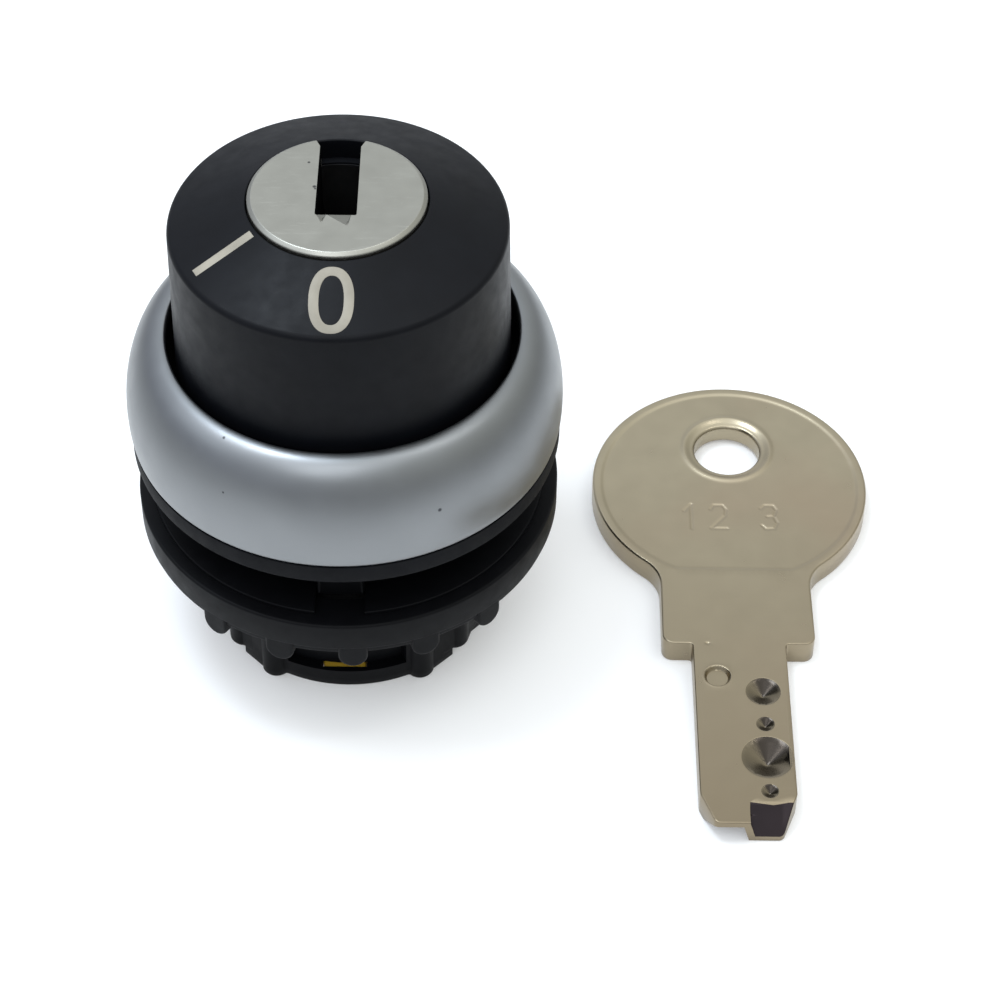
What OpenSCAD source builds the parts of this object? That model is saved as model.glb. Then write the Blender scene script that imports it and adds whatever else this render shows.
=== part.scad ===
// Key-operated selector head for a 22 mm panel hole, with its loose dimple key.
// Origin: lock axis, on the plane where the gasket meets the panel. +Z points out of the panel's front.
// The zero position mark and the anti-rotation nose face -Y.

/* [Panel interface] */
// Radius of the neck that passes through the panel hole
neck_r = 11.0; // [10.9:0.01:11.05]
// Width of the anti-rotation nose
nose_w = 3.2; // [2.8:0.1:3.3]
// How far the nose stands out from the lock axis
nose_r = 12.0; // [11.8:0.05:12.05]
// Height of the panel gasket
gasket_h = 1.2; // [1.1:0.05:1.25]
// Outer radius of the panel gasket
gasket_r = 14.85; // [14.7:0.05:14.9]

/* [Cap] */
// Radius of the cap's side where it leaves the bezel
cap_side_r = 11.4; // [11.3:0.05:11.5]
// Radius of the cap's rounded top edge
cap_top_r = 11.15; // [11.05:0.05:11.25]
// Height of the cap's top edge
cap_edge_z = 18.64; // [18.5:0.02:18.8]
// Height of the cap's cone at the lock hole
cap_hole_z = 20.65; // [20.5:0.05:20.7]
// Radius of the hole for the lock's face
cap_hole_r = 5.95; // [5.93:0.01:6.0]
// Depth of the inlaid position marks
mark_depth = 0.4; // [0.3:0.05:0.5]

/* [Bezel] */
// Widest radius of the bezel
bezel_r = 15.0; // [14.9:0.05:15.1]
// Radius of the opening at the bezel's lip
bezel_lip_r = 11.95; // [11.85:0.05:12.0]
// Height of the bezel's lip
bezel_lip_z = 9.4; // [9.2:0.1:9.6]
// Height at which the bezel is widest
bezel_wide_z = 3.4; // [3.2:0.1:3.8]

/* [Lock] */
// Radius of the lock's face disc
face_r = 5.86; // [5.8:0.01:5.88]
// Height of the lock's face
face_z = 21.0; // [20.9:0.05:21.1]
// Radius of the turning cylinder
barrel_r = 5.3; // [5.25:0.01:5.3]
// Width of the key slot
slot_w = 2.7; // [2.6:0.05:2.9]
// Radius of the lock's fixed shell
shell_r = 8.8; // [8.75:0.01:8.85]
// Radius of the lock's pins
pin_r = 0.7; // [0.65:0.01:0.72]
// Angle that the key turns through, in degrees
turn_angle = 60; // [60:1:62]

/* [Plungers] */
// Distance of each plunger from the lock axis
plunger_x = 6.0; // [5.95:0.05:6.05]
// Radius of each plunger's follower
plunger_r = 1.2; // [1.15:0.01:1.2]
// Radius of each plunger's stem
stem_r = 1.1; // [1.05:0.01:1.1]
// Travel of each plunger over the whole turn
plunger_travel = 2.5; // [2.4:0.05:2.5]

/* [Fixing ring] */
// Outer radius of the fixing ring
ring_r = 14.8; // [14.7:0.05:14.9]
// Height of the ring's top face below the panel seat
ring_top_z = -4.55; // [-4.6:0.01:-4.5]
// Height of the ring's flange wall
ring_wall_h = 2.3; // [2.2:0.05:2.4]
// Number of grip lugs in each of the two groups under the flange
lug_count = 5; // [3:2:7]
// Width of each grip lug
lug_w = 2.0; // [1.8:0.1:2.2]
// Outer radius of the thrust washer
washer_r = 13.8; // [13.6:0.1:14.1]

/* [Rear hub] */
// Height of the hub's rear rim below the panel seat
hub_z = -16.65; // [-16.75:0.05:-16.5]
// Radius of the hub between its ribs
hub_r = 10.0; // [9.95:0.05:10.1]
// Radius of each hub rib's round edge
rib_r = 0.95; // [0.9:0.05:1.0]
// Half angle of each window in the hub, in degrees
window_half = 25; // [24:0.5:25.5]

/* [Key] */
// Place of the key's head centre beside the switch
key_x = 28.1; // [27.6:0.1:40]
// Thickness of the key
key_t = 2.0; // [1.9:0.05:2.1]
// Radius of the key's head
key_head_r = 10.35; // [10.2:0.05:10.5]
// Width of the key's neck
key_neck_w = 11.0; // [10.8:0.1:11.2]
// Width of the key's blade
key_blade_w = 6.7; // [6.5:0.1:6.8]
// Length of the key's blade
key_blade_l = 16.05; // [15.9:0.05:16.1]

/* [Hidden] */
$fn = 96;
cut = 0.1;                        // overshoot of a cutting solid past the face it opens

black = [0.07, 0.07, 0.08];
steel = [0.78, 0.78, 0.8];
zinc = [0.6, 0.6, 0.62];
nickel = [0.72, 0.69, 0.63];
white = [0.9, 0.89, 0.84];

// heights along the lock axis
flange_z = gasket_h + 3.2;        // top of the body's front flange, where cap and bezel rest
flange_r = 13.3;
gasket_lip_z = gasket_h + 0.25;   // rim of the gasket, around the flange and under the bezel
bore_r = 8.3;                     // bore of the body around the cam
ledge_z = 4.6;                    // shoulder in the bore that carries the lock's shell
tube_in_r = 8.9;                  // tube of the body that stands in the cap
tube_r = 9.8;
tube_z = 14;
cap_in_r = tube_r + 0.1;
stop_z = 1.0;                     // lower end of the stop that the cam turns against
stop_h = 2.9;
stop_w = 2.4;
stop_in_r = 7.2;
web_bore_r = 3.08;
screw_hole_r = 0.75;
window_r = 9.2;                   // floor of the windows in the hub
shell_bore_r = barrel_r + 0.05;
shell_top_z = 17.5;               // top of the shell's thick part
shell_neck_r = 7.0;
shell_neck_z = 19.0;
cam_top_z = 3.4;
cam_low_z = 1.35;
cam_r = 8.0;
web_z = -5.8;                     // underside of the web that guides the plungers
web_h = 1.2;
plate_z = -13.2;                  // underside of the rear guide plate
plate_h = 1.6;
plate_r = 8.55;
screw_c = 6.9;                    // distance of the rear screws from the lock axis
screw_angles = [45, 225];
neck_low_z = -9.3;                // lower end of the threaded neck
rib_first = 32;                   // angle of the first rib beside a window, in degrees
rib_last = 6;
rib_out = 0.75;                   // how far the ribs stand out of the hub
window_top_z = -9.5;
window_low_z = hub_z + 1.75;
tab_half = 1.5;                   // half width of the coding adapter's tab
tab_x = -0.18;
thread_pitch = 1.5;
thread_depth = 0.5;
thread_rows = 5;
nose_low_z = -4.4;

// the pins stand where the key's dimples meet them, counted from the lock's face
pin_first = 4.44;
pin_pitch = 2.95;
dimple_depths = [0.65, 0.38, 0.95, 0.36];
dimple_r = [1.25, 0.66, 1.83, 0.62];
dimple_x = 1.47;
blade_offset = 1.6;               // middle of the blade from the lock axis
pin_y = blade_offset - dimple_x;
pin_z = [for (i = [0:3]) face_z - pin_first - i * pin_pitch];
face_low_z = 19.2;                // underside of the lock's face disc
face_chamfer = 0.25;
slot_end_y = -2.05;
slot_flare_l = 1.05;              // the slot widens over this length towards the rim
slot_flare_w = 0.4;
spindle_z = 3.8;                  // lower end of the turning cylinder
spindle_w = 3.5;
spindle_low_z = -1;
clip_groove_r = 4.6;
shear_gap = 0.08;
driver_len = 1.35;
cover_x = 8.35;

mark_near_r = 6.4;                // where the zero mark begins

// the cam's ramps
ramp_in_r = 5.0;
ramp_out_r = 6.95;
ramp_start = -14.4;
ramp_end = 75;
ramp_rest = 0.6;                  // depth of a ramp above the plunger at rest
dome_r = 1.6;
ramp_slope = plunger_travel / (plunger_x * turn_angle * PI / 180);
dome_z = cam_low_z - ramp_rest - (dome_r + 0.09) * sqrt(1 + ramp_slope * ramp_slope);

collar_z = web_z - 0.05;          // top of the plungers' collar, under the web
collar_h = 0.8;
collar_r = 1.9;
stem_low_z = plate_z - 0.4;       // end of the plungers' stems at rest

detent_z = 2.4;
detent_r = 0.95;
detent_tip_r = 7.55;
plug_r = 12.2;                    // inner end of the plug behind the detent spring

flange_low_z = ring_top_z - ring_wall_h;
ring_bore_r = neck_r + 0.06;
relief_r = nose_r + 0.2;
ring_low_z = -8.7;
relief_low_z = -7.45;
washer_h = 0.3;

key_y = 8.78;                     // head centre, key lying flat with its blade along -Y
key_hole_y = 3.8;
key_hole_r = 2.48;
key_sink_r = 3.27;
key_sink_h = 0.42;
key_line_y = -8.65;               // where the coined field ends towards the neck
key_pocket = [-1.7, -3.03];       // centre of the flat pocket, from the middle of the shoulder
key_pocket_r = 0.95;
key_pocket_h = 0.3;
key_shoulder_y = -15.9;
key_tip_y = key_shoulder_y - key_blade_l;
key_fillet = 3.0;
key_field = 0.08;                 // depth of the coined field on each face
key_rim = 0.7;
key_ramp_l = 1.8;
key_ramp_foot = 0.5;              // thickness left under the lead-in ramp at the tip

// ---- helpers -------------------------------------------------------------------------------

// points on an arc, in the plane
function arc(c, r, a0, a1, n) = [
    for (i = [0:n]) let (a = a0 + (a1 - a0) * i / n)
        c + r * [cos(a), sin(a)]
];

// height of the cap's cone above a radius
function cone_z(r) = cap_hole_z + (r - cap_hole_r) * (cap_edge_z - cap_hole_z) / (cap_top_r - cap_hole_r);

module tube(r_out, r_in, z0, z1) {
    translate([0, 0, z0]) difference() {
        cylinder(r = r_out, h = z1 - z0);
        translate([0, 0, -cut]) cylinder(r = r_in, h = z1 - z0 + 2 * cut);
    }
}

module rod(r, z0, z1) {
    translate([0, 0, z0]) cylinder(r = r, h = z1 - z0);
}

// part of a ring between two angles
module sector(r_in, r_out, z0, z1, a0, a1) {
    rotate([0, 0, a0]) rotate_extrude(angle = a1 - a0)
        translate([r_in, z0]) square([r_out - r_in, z1 - z0]);
}

// a cylinder that points along +X, at a height and a distance
module radial_rod(r, x0, x1) {
    translate([x0, 0, 0]) rotate([0, 90, 0]) cylinder(r = r, h = x1 - x0);
}

// wire wound along +Z, from z0 to z1 over all
module coil(mean_r, wire_r, z0, z1, turns, steps = 14, sides = 6) {
    rings = turns * steps;
    rise = (z1 - z0 - 2 * wire_r) / rings;
    points = [for (i = [0:rings]) for (j = [0:sides - 1])
        let (a = i * 360 / steps, b = j * 360 / sides, r = mean_r + wire_r * cos(b))
        [r * cos(a), r * sin(a), z0 + wire_r + i * rise + wire_r * sin(b)]];
    skin = [for (i = [0:rings - 1]) for (j = [0:sides - 1])
        let (k = (j + 1) % sides)
        [i * sides + j, (i + 1) * sides + j, (i + 1) * sides + k, i * sides + k]];
    ends = [[for (j = [0:sides - 1]) j], [for (j = [sides - 1:-1:0]) rings * sides + j]];
    polyhedron(points, concat(skin, ends), convexity = 6);
}

// ---- housing -------------------------------------------------------------------------------

// turns to a place among the ribs, counted from the front window or the rear one
module at_rib(side, place) {
    rotate([0, 0, side - 90 + rib_first + place * (180 - 2 * rib_first) / rib_last]) children();
}

module hub_ribs() {
    chamfer = 0.35;
    for (side = [0, 180], i = [0:rib_last]) {
        beside_window = i == 0 || i == rib_last;
        low = beside_window ? hub_z : hub_z + 0.9;
        at_rib(side, i) translate([hub_r + rib_out - rib_r, 0, low]) {
            cylinder(r1 = rib_r - chamfer, r2 = rib_r, h = chamfer);
            translate([0, 0, chamfer]) cylinder(r = rib_r, h = neck_low_z - low);
        }
    }
}

module hub_scallops() {
    scallop_r = 1.42;
    for (side = [0, 180], i = [0:rib_last - 1])
        at_rib(side, i + 0.5) translate([hub_r + 1.2, 0, hub_z - cut])
            cylinder(r = scallop_r, h = neck_low_z - hub_z);
}

module main_body() {
    color(black) difference() {
        union() {
            rotate_extrude() polygon([
                [bore_r, hub_z], [bore_r, ledge_z], [tube_in_r, ledge_z], [tube_in_r, tube_z],
                [tube_r, tube_z],
                [tube_r, flange_z], [flange_r, flange_z], [flange_r, gasket_h], [neck_r, gasket_h],
                [neck_r, neck_low_z], [hub_r, neck_low_z - 0.6], [hub_r, hub_z + 0.4], [hub_r - 0.4, hub_z]
            ]);
            hub_ribs();
            // anti-rotation nose
            intersection() {
                rod(nose_r, nose_low_z, gasket_h);
                translate([-nose_w / 2, -nose_r - 1, nose_low_z]) cube([nose_w, 3.5, gasket_h - nose_low_z]);
            }
            // stop that the cam turns against
            intersection() {
                rod(bore_r + 0.1, stop_z, stop_z + stop_h);
                translate([-stop_w / 2, -bore_r - 1, stop_z]) cube([stop_w, bore_r + 1 - stop_in_r, stop_h]);
            }
            // web and bosses behind the cam
            difference() {
                union() {
                    rod(bore_r + 0.1, web_z, web_z + web_h);
                    for (a = screw_angles) rotate([0, 0, a]) translate([screw_c, 0, 0])
                        rod(1.45, plate_z + plate_h, web_z + cut);
                }
                rod(web_bore_r, web_z - cut, web_z + web_h + cut);
                for (x = [-plunger_x, plunger_x]) translate([x, 0, 0])
                    rod(plunger_r + 0.06, web_z - cut, web_z + web_h + cut);
                for (a = screw_angles) rotate([0, 0, a]) translate([screw_c, 0, 0])
                    rod(screw_hole_r, plate_z, web_z - 0.3);
            }
        }
        hub_scallops();
        // seat of the guide plate
        rod(plate_r + 0.05, hub_z - cut, plate_z + plate_h);
        // thread on the neck
        for (i = [0:thread_rows - 1]) rotate_extrude() translate([neck_r, -1.8 - i * thread_pitch])
            polygon([[0.2, -0.73], [0.2, 0.73], [-thread_depth, 0.12], [-thread_depth, -0.12]]);
        // windows, front and back
        for (a = [-90, 90])
            sector(window_r, hub_r + 2, window_low_z, window_top_z, a - window_half, a + window_half);
        // pocket for the coding adapter's tab
        intersection() {
            rod(9.55, hub_z - cut, window_low_z + 0.01);
            translate([tab_x - tab_half - 0.1, -10, hub_z - cut]) cube([2 * tab_half + 0.2, 3, 2.5]);
        }
        // detent bore, through the flange
        translate([0, 0, detent_z]) rotate([0, 0, 90]) radial_rod(1.0, 7.0, flange_r + 1);
    }
}

module guide_plate() {
    color([0.16, 0.16, 0.17]) difference() {
        rod(plate_r, plate_z, plate_z + plate_h);
        for (x = [-plunger_x, plunger_x]) translate([x, 0, 0])
            rod(stem_r + 0.06, plate_z - cut, plate_z + plate_h + cut);
        for (a = screw_angles) rotate([0, 0, a]) translate([screw_c, 0, 0])
            rod(0.8, plate_z - cut, plate_z + plate_h + cut);
        rod(2.2, plate_z - cut, plate_z + plate_h + cut);
    }
}

module rear_screws() {
    color(steel) for (a = screw_angles) rotate([0, 0, a]) translate([screw_c, 0, 0]) difference() {
        union() {
            rod(0.72, plate_z - 0.05, plate_z + 4.6);
            rod(1.3, plate_z - 0.8, plate_z);
        }
        for (b = [0, 90]) rotate([0, 0, b]) translate([-0.75, -0.15, plate_z - 1]) cube([1.5, 0.3, 0.65]);
    }
}

module coding_adapter() {
    color([0.93, 0.72, 0.12]) union() {
        sector(7.6, 8.5, hub_z + 0.4, plate_z - 0.05, -120, -60);
        intersection() {
            rod(9.45, hub_z + 0.2, hub_z + 1.45);
            translate([tab_x - tab_half, -10, hub_z + 0.2]) cube([2 * tab_half, 2, 1.25]);
        }
    }
}

module panel_gasket() {
    color([0.12, 0.12, 0.12]) difference() {
        rotate_extrude() polygon([
            [neck_r + 0.1, 0], [gasket_r - 0.12, 0], [gasket_r, 0.12], [gasket_r, gasket_lip_z],
            [flange_r + 0.05, gasket_lip_z], [flange_r + 0.05, gasket_h], [neck_r + 0.1, gasket_h]
        ]);
        translate([-nose_w / 2 - 0.1, -nose_r - 0.1, -cut]) cube([nose_w + 0.2, 3, gasket_h + 2 * cut]);
    }
}

module bezel_ring() {
    skirt_z = gasket_lip_z + 0.05;
    skirt_draft = 0.18;
    crown = [for (a = [0:6:90])
        [bezel_lip_r + 0.25 + (bezel_r - bezel_lip_r - 0.25) * sin(a),
         bezel_wide_z + (bezel_lip_z - bezel_wide_z) * cos(a)]];
    skirt = [for (a = [15:15:90])
        [bezel_r - skirt_draft * (1 - cos(a)), bezel_wide_z - (bezel_wide_z - skirt_z) * sin(a)]];
    inside = [
        [flange_r + 0.05, skirt_z], [flange_r + 0.05, flange_z], [13.0, flange_z], [13.0, flange_z + 1.4],
        [12.55, 7.8], [bezel_lip_r, 8.7], [bezel_lip_r, bezel_lip_z - 0.12]
    ];
    color([0.74, 0.76, 0.78]) rotate_extrude() polygon(concat(crown, skirt, inside));
}

// ---- cap and marks -------------------------------------------------------------------------

// layer of the cap's cone that the marks fill
module mark_layer() {
    rotate_extrude() polygon([
        [cap_hole_r + 0.05, cone_z(cap_hole_r + 0.05)], [cap_top_r - 0.2, cone_z(cap_top_r - 0.2)],
        [cap_top_r - 0.2, cone_z(cap_top_r - 0.2) - mark_depth],
        [cap_hole_r + 0.05, cone_z(cap_hole_r + 0.05) - mark_depth]
    ]);
}

// a squarish oval around a point on +X
module oval(middle_r, length, width) {
    squareness = 2.35;
    function bulge(v) = sign(v) * pow(abs(v), 2 / squareness);
    polygon([for (a = [0:7.5:352.5]) [middle_r + bulge(cos(a)) * length / 2, bulge(sin(a)) * width / 2]]);
}

module zero_outline() {
    zero_l = 4.42;
    zero_w = 2.93;
    end_stroke = 0.62;
    side_stroke = 0.69;
    middle_r = mark_near_r + zero_l / 2;
    rotate(-90) difference() {
        oval(middle_r, zero_l, zero_w);
        oval(middle_r, zero_l - 2 * end_stroke, zero_w - 2 * side_stroke);
    }
}

module one_outline() {
    bar_near_r = 6.28;
    bar_l = 4.2;
    bar_w = 0.67;
    bar_shift = 0.3;
    rotate(-90 - turn_angle) translate([bar_near_r, bar_shift - bar_w / 2]) square([bar_l, bar_w]);
}

// the part of the layer that stands on a flat outline
module mark_solid() {
    intersection() {
        mark_layer();
        translate([0, 0, cap_edge_z - 1]) linear_extrude(3) children();
    }
}

module mark_zero() {
    color(white) mark_solid() zero_outline();
}

module mark_one() {
    color(white) mark_solid() one_outline();
}

module head_cap() {
    edge_r = 0.45;
    edge = arc([cap_top_r - edge_r, cap_edge_z - edge_r + 0.02], edge_r, 70, 0, 6);
    color(black) difference() {
        rotate_extrude() polygon(concat(
            [[cap_hole_r, cap_hole_z], [cap_top_r - edge_r - 0.1, cone_z(cap_top_r - edge_r - 0.1)]],
            edge,
            [[cap_side_r, bezel_lip_z], [cap_side_r + 0.05, flange_z], [cap_in_r, flange_z],
             [cap_in_r, shell_top_z + 0.05],
             [shell_neck_r + 0.05, shell_top_z + 0.05], [shell_neck_r + 0.05, shell_neck_z],
             [cap_hole_r, shell_neck_z]]
        ));
        // pockets of the marks, cut again a little higher so that no skin is left over them
        for (lift = [0, 0.02]) translate([0, 0, lift]) mark_solid() {
            zero_outline();
            one_outline();
        }
    }
}

// ---- lock ----------------------------------------------------------------------------------

module lock_shell() {
    color(zinc) difference() {
        union() {
            rod(shell_r, ledge_z, shell_top_z);
            rod(shell_neck_r, shell_top_z - cut, shell_neck_z);
        }
        rod(shell_bore_r, ledge_z - cut, shell_neck_z + cut);
        // groove of the O-ring
        rotate_extrude() translate([6.2, shell_top_z + 0.25]) square([2, 0.9]);
        // pin chambers and the seat of their cover
        for (z = pin_z) translate([0, pin_y, z]) radial_rod(pin_r + 0.06, 4.5, shell_r + 1);
        translate([cover_x, -1.5, pin_z[3] - 1.2]) cube([2, 3, shell_top_z - pin_z[3] + 3]);
    }
}

module shell_o_ring() {
    color([0.1, 0.1, 0.1]) rotate_extrude() translate([6.62, shell_top_z + 0.7]) circle(r = 0.4, $fn = 32);
}

module wiper_seal() {
    color([0.2, 0.2, 0.2]) tube(5.9, barrel_r + 0.1, shell_neck_z, shell_neck_z + 0.15);
}

module driver_pins() {
    color(steel) for (z = pin_z) translate([0, pin_y, z])
        radial_rod(pin_r, shell_bore_r + shear_gap, shell_bore_r + shear_gap + driver_len);
}

module pin_springs() {
    from = shell_bore_r + shear_gap + driver_len;
    color(steel) for (z = pin_z) translate([0, pin_y, z]) rotate([0, 90, 0])
        coil(0.5, 0.09, from + 0.02, cover_x - 0.02, 4, 10, 6);
}

module pin_cover() {
    color(zinc) translate([cover_x, -1.45, pin_z[3] - 1.15])
        cube([0.25, 2.9, shell_top_z - pin_z[3] + 1.15]);
}

module lock_cylinder() {
    floor_z = face_z - key_blade_l - 0.15;
    color(zinc) difference() {
        union() {
            rotate_extrude() polygon([
                [0, face_low_z], [face_r, face_low_z], [face_r, face_z - face_chamfer],
                [face_r - face_chamfer, face_z], [0, face_z]
            ]);
            rod(barrel_r, spindle_z + 0.6, face_low_z + cut);
            // groove of the clip, and the collar below it
            rod(clip_groove_r, spindle_z, spindle_z + 0.7);
            rod(barrel_r, spindle_z - 0.3, spindle_z + 0.1);
            translate([-spindle_w / 2, -spindle_w / 2, spindle_low_z])
                cube([spindle_w, spindle_w, spindle_z - spindle_low_z]);
        }
        // key slot, open to the rim at +Y
        translate([-slot_w / 2, slot_end_y, floor_z]) cube([slot_w, 10, 20]);
        // mouth of the slot at the rim
        translate([0, face_r, face_low_z - cut]) linear_extrude(3) polygon([
            [-slot_w / 2, -slot_flare_l], [-slot_w / 2 - slot_flare_w, cut],
            [slot_w / 2 + slot_flare_w, cut], [slot_w / 2, -slot_flare_l]
        ]);
        // lead-in at the slot's closed end
        translate([1.09, 0, 0]) rotate([0, -90, 0]) linear_extrude(2.18)
            polygon([
                [face_z + 0.1, slot_end_y - 1.1], [face_z - 0.02, slot_end_y - 1.08],
                [face_z - 0.3, slot_end_y + 0.05], [face_z + 0.1, slot_end_y + 0.05]
            ]);
        for (z = pin_z) translate([0, pin_y, z]) radial_rod(pin_r + 0.06, 1.0, barrel_r + 1);
        // hole of the cam screw
        rod(0.95, spindle_low_z - cut, 2.6);
    }
}

module key_pins() {
    color(steel) for (i = [0:3]) translate([0, pin_y, pin_z[i]]) rotate([0, 90, 0]) {
        tip = key_t / 2 + 0.05 - dimple_depths[i];
        translate([0, 0, tip]) cylinder(r1 = 0.15, r2 = pin_r, h = 0.6);
        translate([0, 0, tip + 0.6]) cylinder(r = pin_r, h = barrel_r - 0.12 - tip - 0.6);
    }
}

module cylinder_clip() {
    color(steel) difference() {
        tube(6.4, clip_groove_r + 0.05, spindle_z + 0.15, spindle_z + 0.57);
        translate([-1.6, 0, spindle_z - 0.3]) cube([3.2, 8, 1.5]);
    }
}

// underside of a ramp that deepens steadily with angle
module cam_ramp() {
    steps = 36;
    function depth(a) = 0.02 + (a - ramp_start) * plunger_travel / turn_angle;
    angles = [for (i = [0:steps]) ramp_start + (ramp_end - ramp_start) * i / steps];
    top = cam_low_z + 0.3;
    points = [for (a = angles) each [
        [ramp_in_r * cos(a), ramp_in_r * sin(a), top], [ramp_out_r * cos(a), ramp_out_r * sin(a), top],
        [ramp_out_r * cos(a), ramp_out_r * sin(a), cam_low_z - depth(a)],
        [ramp_in_r * cos(a), ramp_in_r * sin(a), cam_low_z - depth(a)]]];
    skin = [for (i = [0:steps - 1]) for (j = [0:3])
        let (k = (j + 1) % 4, a = 4 * i + j, b = 4 * i + k)
        each [[a, a + 4, b + 4], [a, b + 4, b]]];
    last = 4 * steps;
    polyhedron(points, concat(skin, [[0, 1, 2, 3], [last + 3, last + 2, last + 1, last]]));
}

module cam_rotor() {
    color([0.85, 0.84, 0.8]) union() {
        difference() {
            union() {
                rod(cam_r, cam_low_z, cam_top_z);
                rod(3.0, web_z - 0.4, cam_low_z + cut);
            }
            // drive socket and screw hole
            translate([-spindle_w / 2 - 0.05, -spindle_w / 2 - 0.05, spindle_low_z - cut])
                cube([spindle_w + 0.1, spindle_w + 0.1, 6]);
            rod(1.0, web_z - 1, 0);
            // track of the detent ball, with a pocket at each end
            sector(7.5, cam_r + 1, cam_low_z - cut, cam_top_z + cut, 82.5, 97.5 + turn_angle);
            for (a = [90, 90 + turn_angle]) rotate([0, 0, a]) translate([0, 0, detent_z])
                radial_rod(0.7, 7.25, cam_r);
            // room for the body's stop
            sector(7.0, cam_r + 1, cam_low_z - cut, cam_top_z + cut, -99.6, -80.4 + turn_angle);
        }
        for (a = [0, 180]) rotate([0, 0, a]) cam_ramp();
    }
}

module cam_screw() {
    head_z = web_z - 0.4;
    color(steel) difference() {
        union() {
            rod(0.9, head_z - 0.1, 2.4);
            rod(1.9, head_z - 1.1, head_z);
        }
        for (b = [0, 90]) rotate([0, 0, b]) translate([-1.1, -0.22, head_z - 1.2]) cube([2.2, 0.44, 0.8]);
    }
}

module detent_ball() {
    color(steel) translate([0, detent_tip_r + detent_r, detent_z]) sphere(r = detent_r);
}

module detent_spring() {
    ball_out = detent_tip_r + 2 * detent_r;
    color(steel) translate([0, 0, detent_z]) rotate([-90, 0, 0])
        coil(0.72, 0.12, ball_out + 0.02, plug_r - 0.02, 5, 12, 6);
}

module detent_plug() {
    color(steel) translate([0, 0, detent_z]) rotate([0, 0, 90]) difference() {
        radial_rod(0.98, plug_r, flange_r - 0.05);
        translate([12.75, -0.7, -0.15]) cube([1, 1.4, 0.3]);
    }
}

// ---- plungers ------------------------------------------------------------------------------

module plunger(x) {
    translate([x, 0, 0]) {
        intersection() {
            rod(plunger_r, collar_z - 0.1, dome_z + dome_r + 1);
            union() {
                translate([0, 0, dome_z]) sphere(r = dome_r);
                rod(plunger_r + 0.5, collar_z - 0.2, dome_z + 0.5);
            }
        }
        rod(collar_r, collar_z - collar_h, collar_z);
        rod(stem_r, stem_low_z, collar_z - 0.1);
    }
}

module plunger_left() {
    color([0.88, 0.88, 0.86]) plunger(-plunger_x);
}

module plunger_right() {
    color([0.88, 0.88, 0.86]) plunger(plunger_x);
}

module plunger_spring(x) {
    color(steel) translate([x, 0, 0])
        coil(1.48, 0.15, plate_z + plate_h + 0.01, collar_z - collar_h - 0.01, 5, 14, 6);
}

module plunger_spring_left() {
    plunger_spring(-plunger_x);
}

module plunger_spring_right() {
    plunger_spring(plunger_x);
}

// ---- fixing ring ---------------------------------------------------------------------------

module thrust_washer() {
    color(black) difference() {
        tube(washer_r, neck_r + 0.12, ring_top_z, ring_top_z + washer_h);
        translate([-nose_w / 2 - 0.1, -washer_r - 1, ring_top_z - cut]) cube([nose_w + 0.2, 5, 1]);
    }
}

module ring_lugs() {
    radius = lug_w / 2;
    drop = 0.85;
    lug_in_r = 13.4;
    lug_pitch = 20;
    intersection() {
        rod(ring_r, flange_low_z - 3, flange_low_z + 1);
        for (side = [0, 180], i = [0:lug_count - 1])
            rotate([0, 0, side - 86.6 + (i - (lug_count - 1) / 2) * lug_pitch]) {
                translate([0, 0, flange_low_z - drop]) radial_rod(radius, lug_in_r, ring_r + 1);
                translate([lug_in_r, -radius, flange_low_z - drop]) cube([3, lug_w, drop + 0.2]);
            }
    }
}

module fixing_ring() {
    step_z = flange_low_z - 0.5;
    sleeve_r = 13.2;
    color(black) union() {
        rotate_extrude() polygon([
            [relief_r, ring_top_z], [ring_r - 0.2, ring_top_z], [ring_r, ring_top_z - 0.2],
            [ring_r, flange_low_z + 0.08],
            [ring_r - 0.08, flange_low_z], [ring_r - 0.16, flange_low_z], [ring_r - 0.16, step_z + 0.1],
            [ring_r - 0.26, step_z],
            [sleeve_r, step_z], [sleeve_r, ring_low_z], [ring_bore_r, ring_low_z],
            [ring_bore_r, relief_low_z], [relief_r, relief_low_z]
        ]);
        ring_lugs();
    }
}

// ---- key -----------------------------------------------------------------------------------

// outline of the right half of the key, from the head's top to the tip
function key_half() =
    let (n = key_neck_w / 2, b = key_blade_w / 2,
         fx = n + key_fillet, fr = key_head_r + key_fillet, fy = -sqrt(fr * fr - fx * fx),
         join = atan2(fy, fx), corner = 0.8)
    concat(
        arc([0, 0], key_head_r, 90, join, 40),
        arc([fx, fy], key_fillet, join + 180, 180, 8),
        arc([n - corner, key_shoulder_y + corner], corner, 0, -90, 5),
        [[b, key_shoulder_y], [b, key_tip_y + 2.5], [b - 1, key_tip_y]]
    );

module key_outline() {
    right = key_half();
    left = [for (i = [len(right) - 1:-1:1]) [-right[i][0], right[i][1]]];
    polygon(concat(right, left));
}

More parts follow.
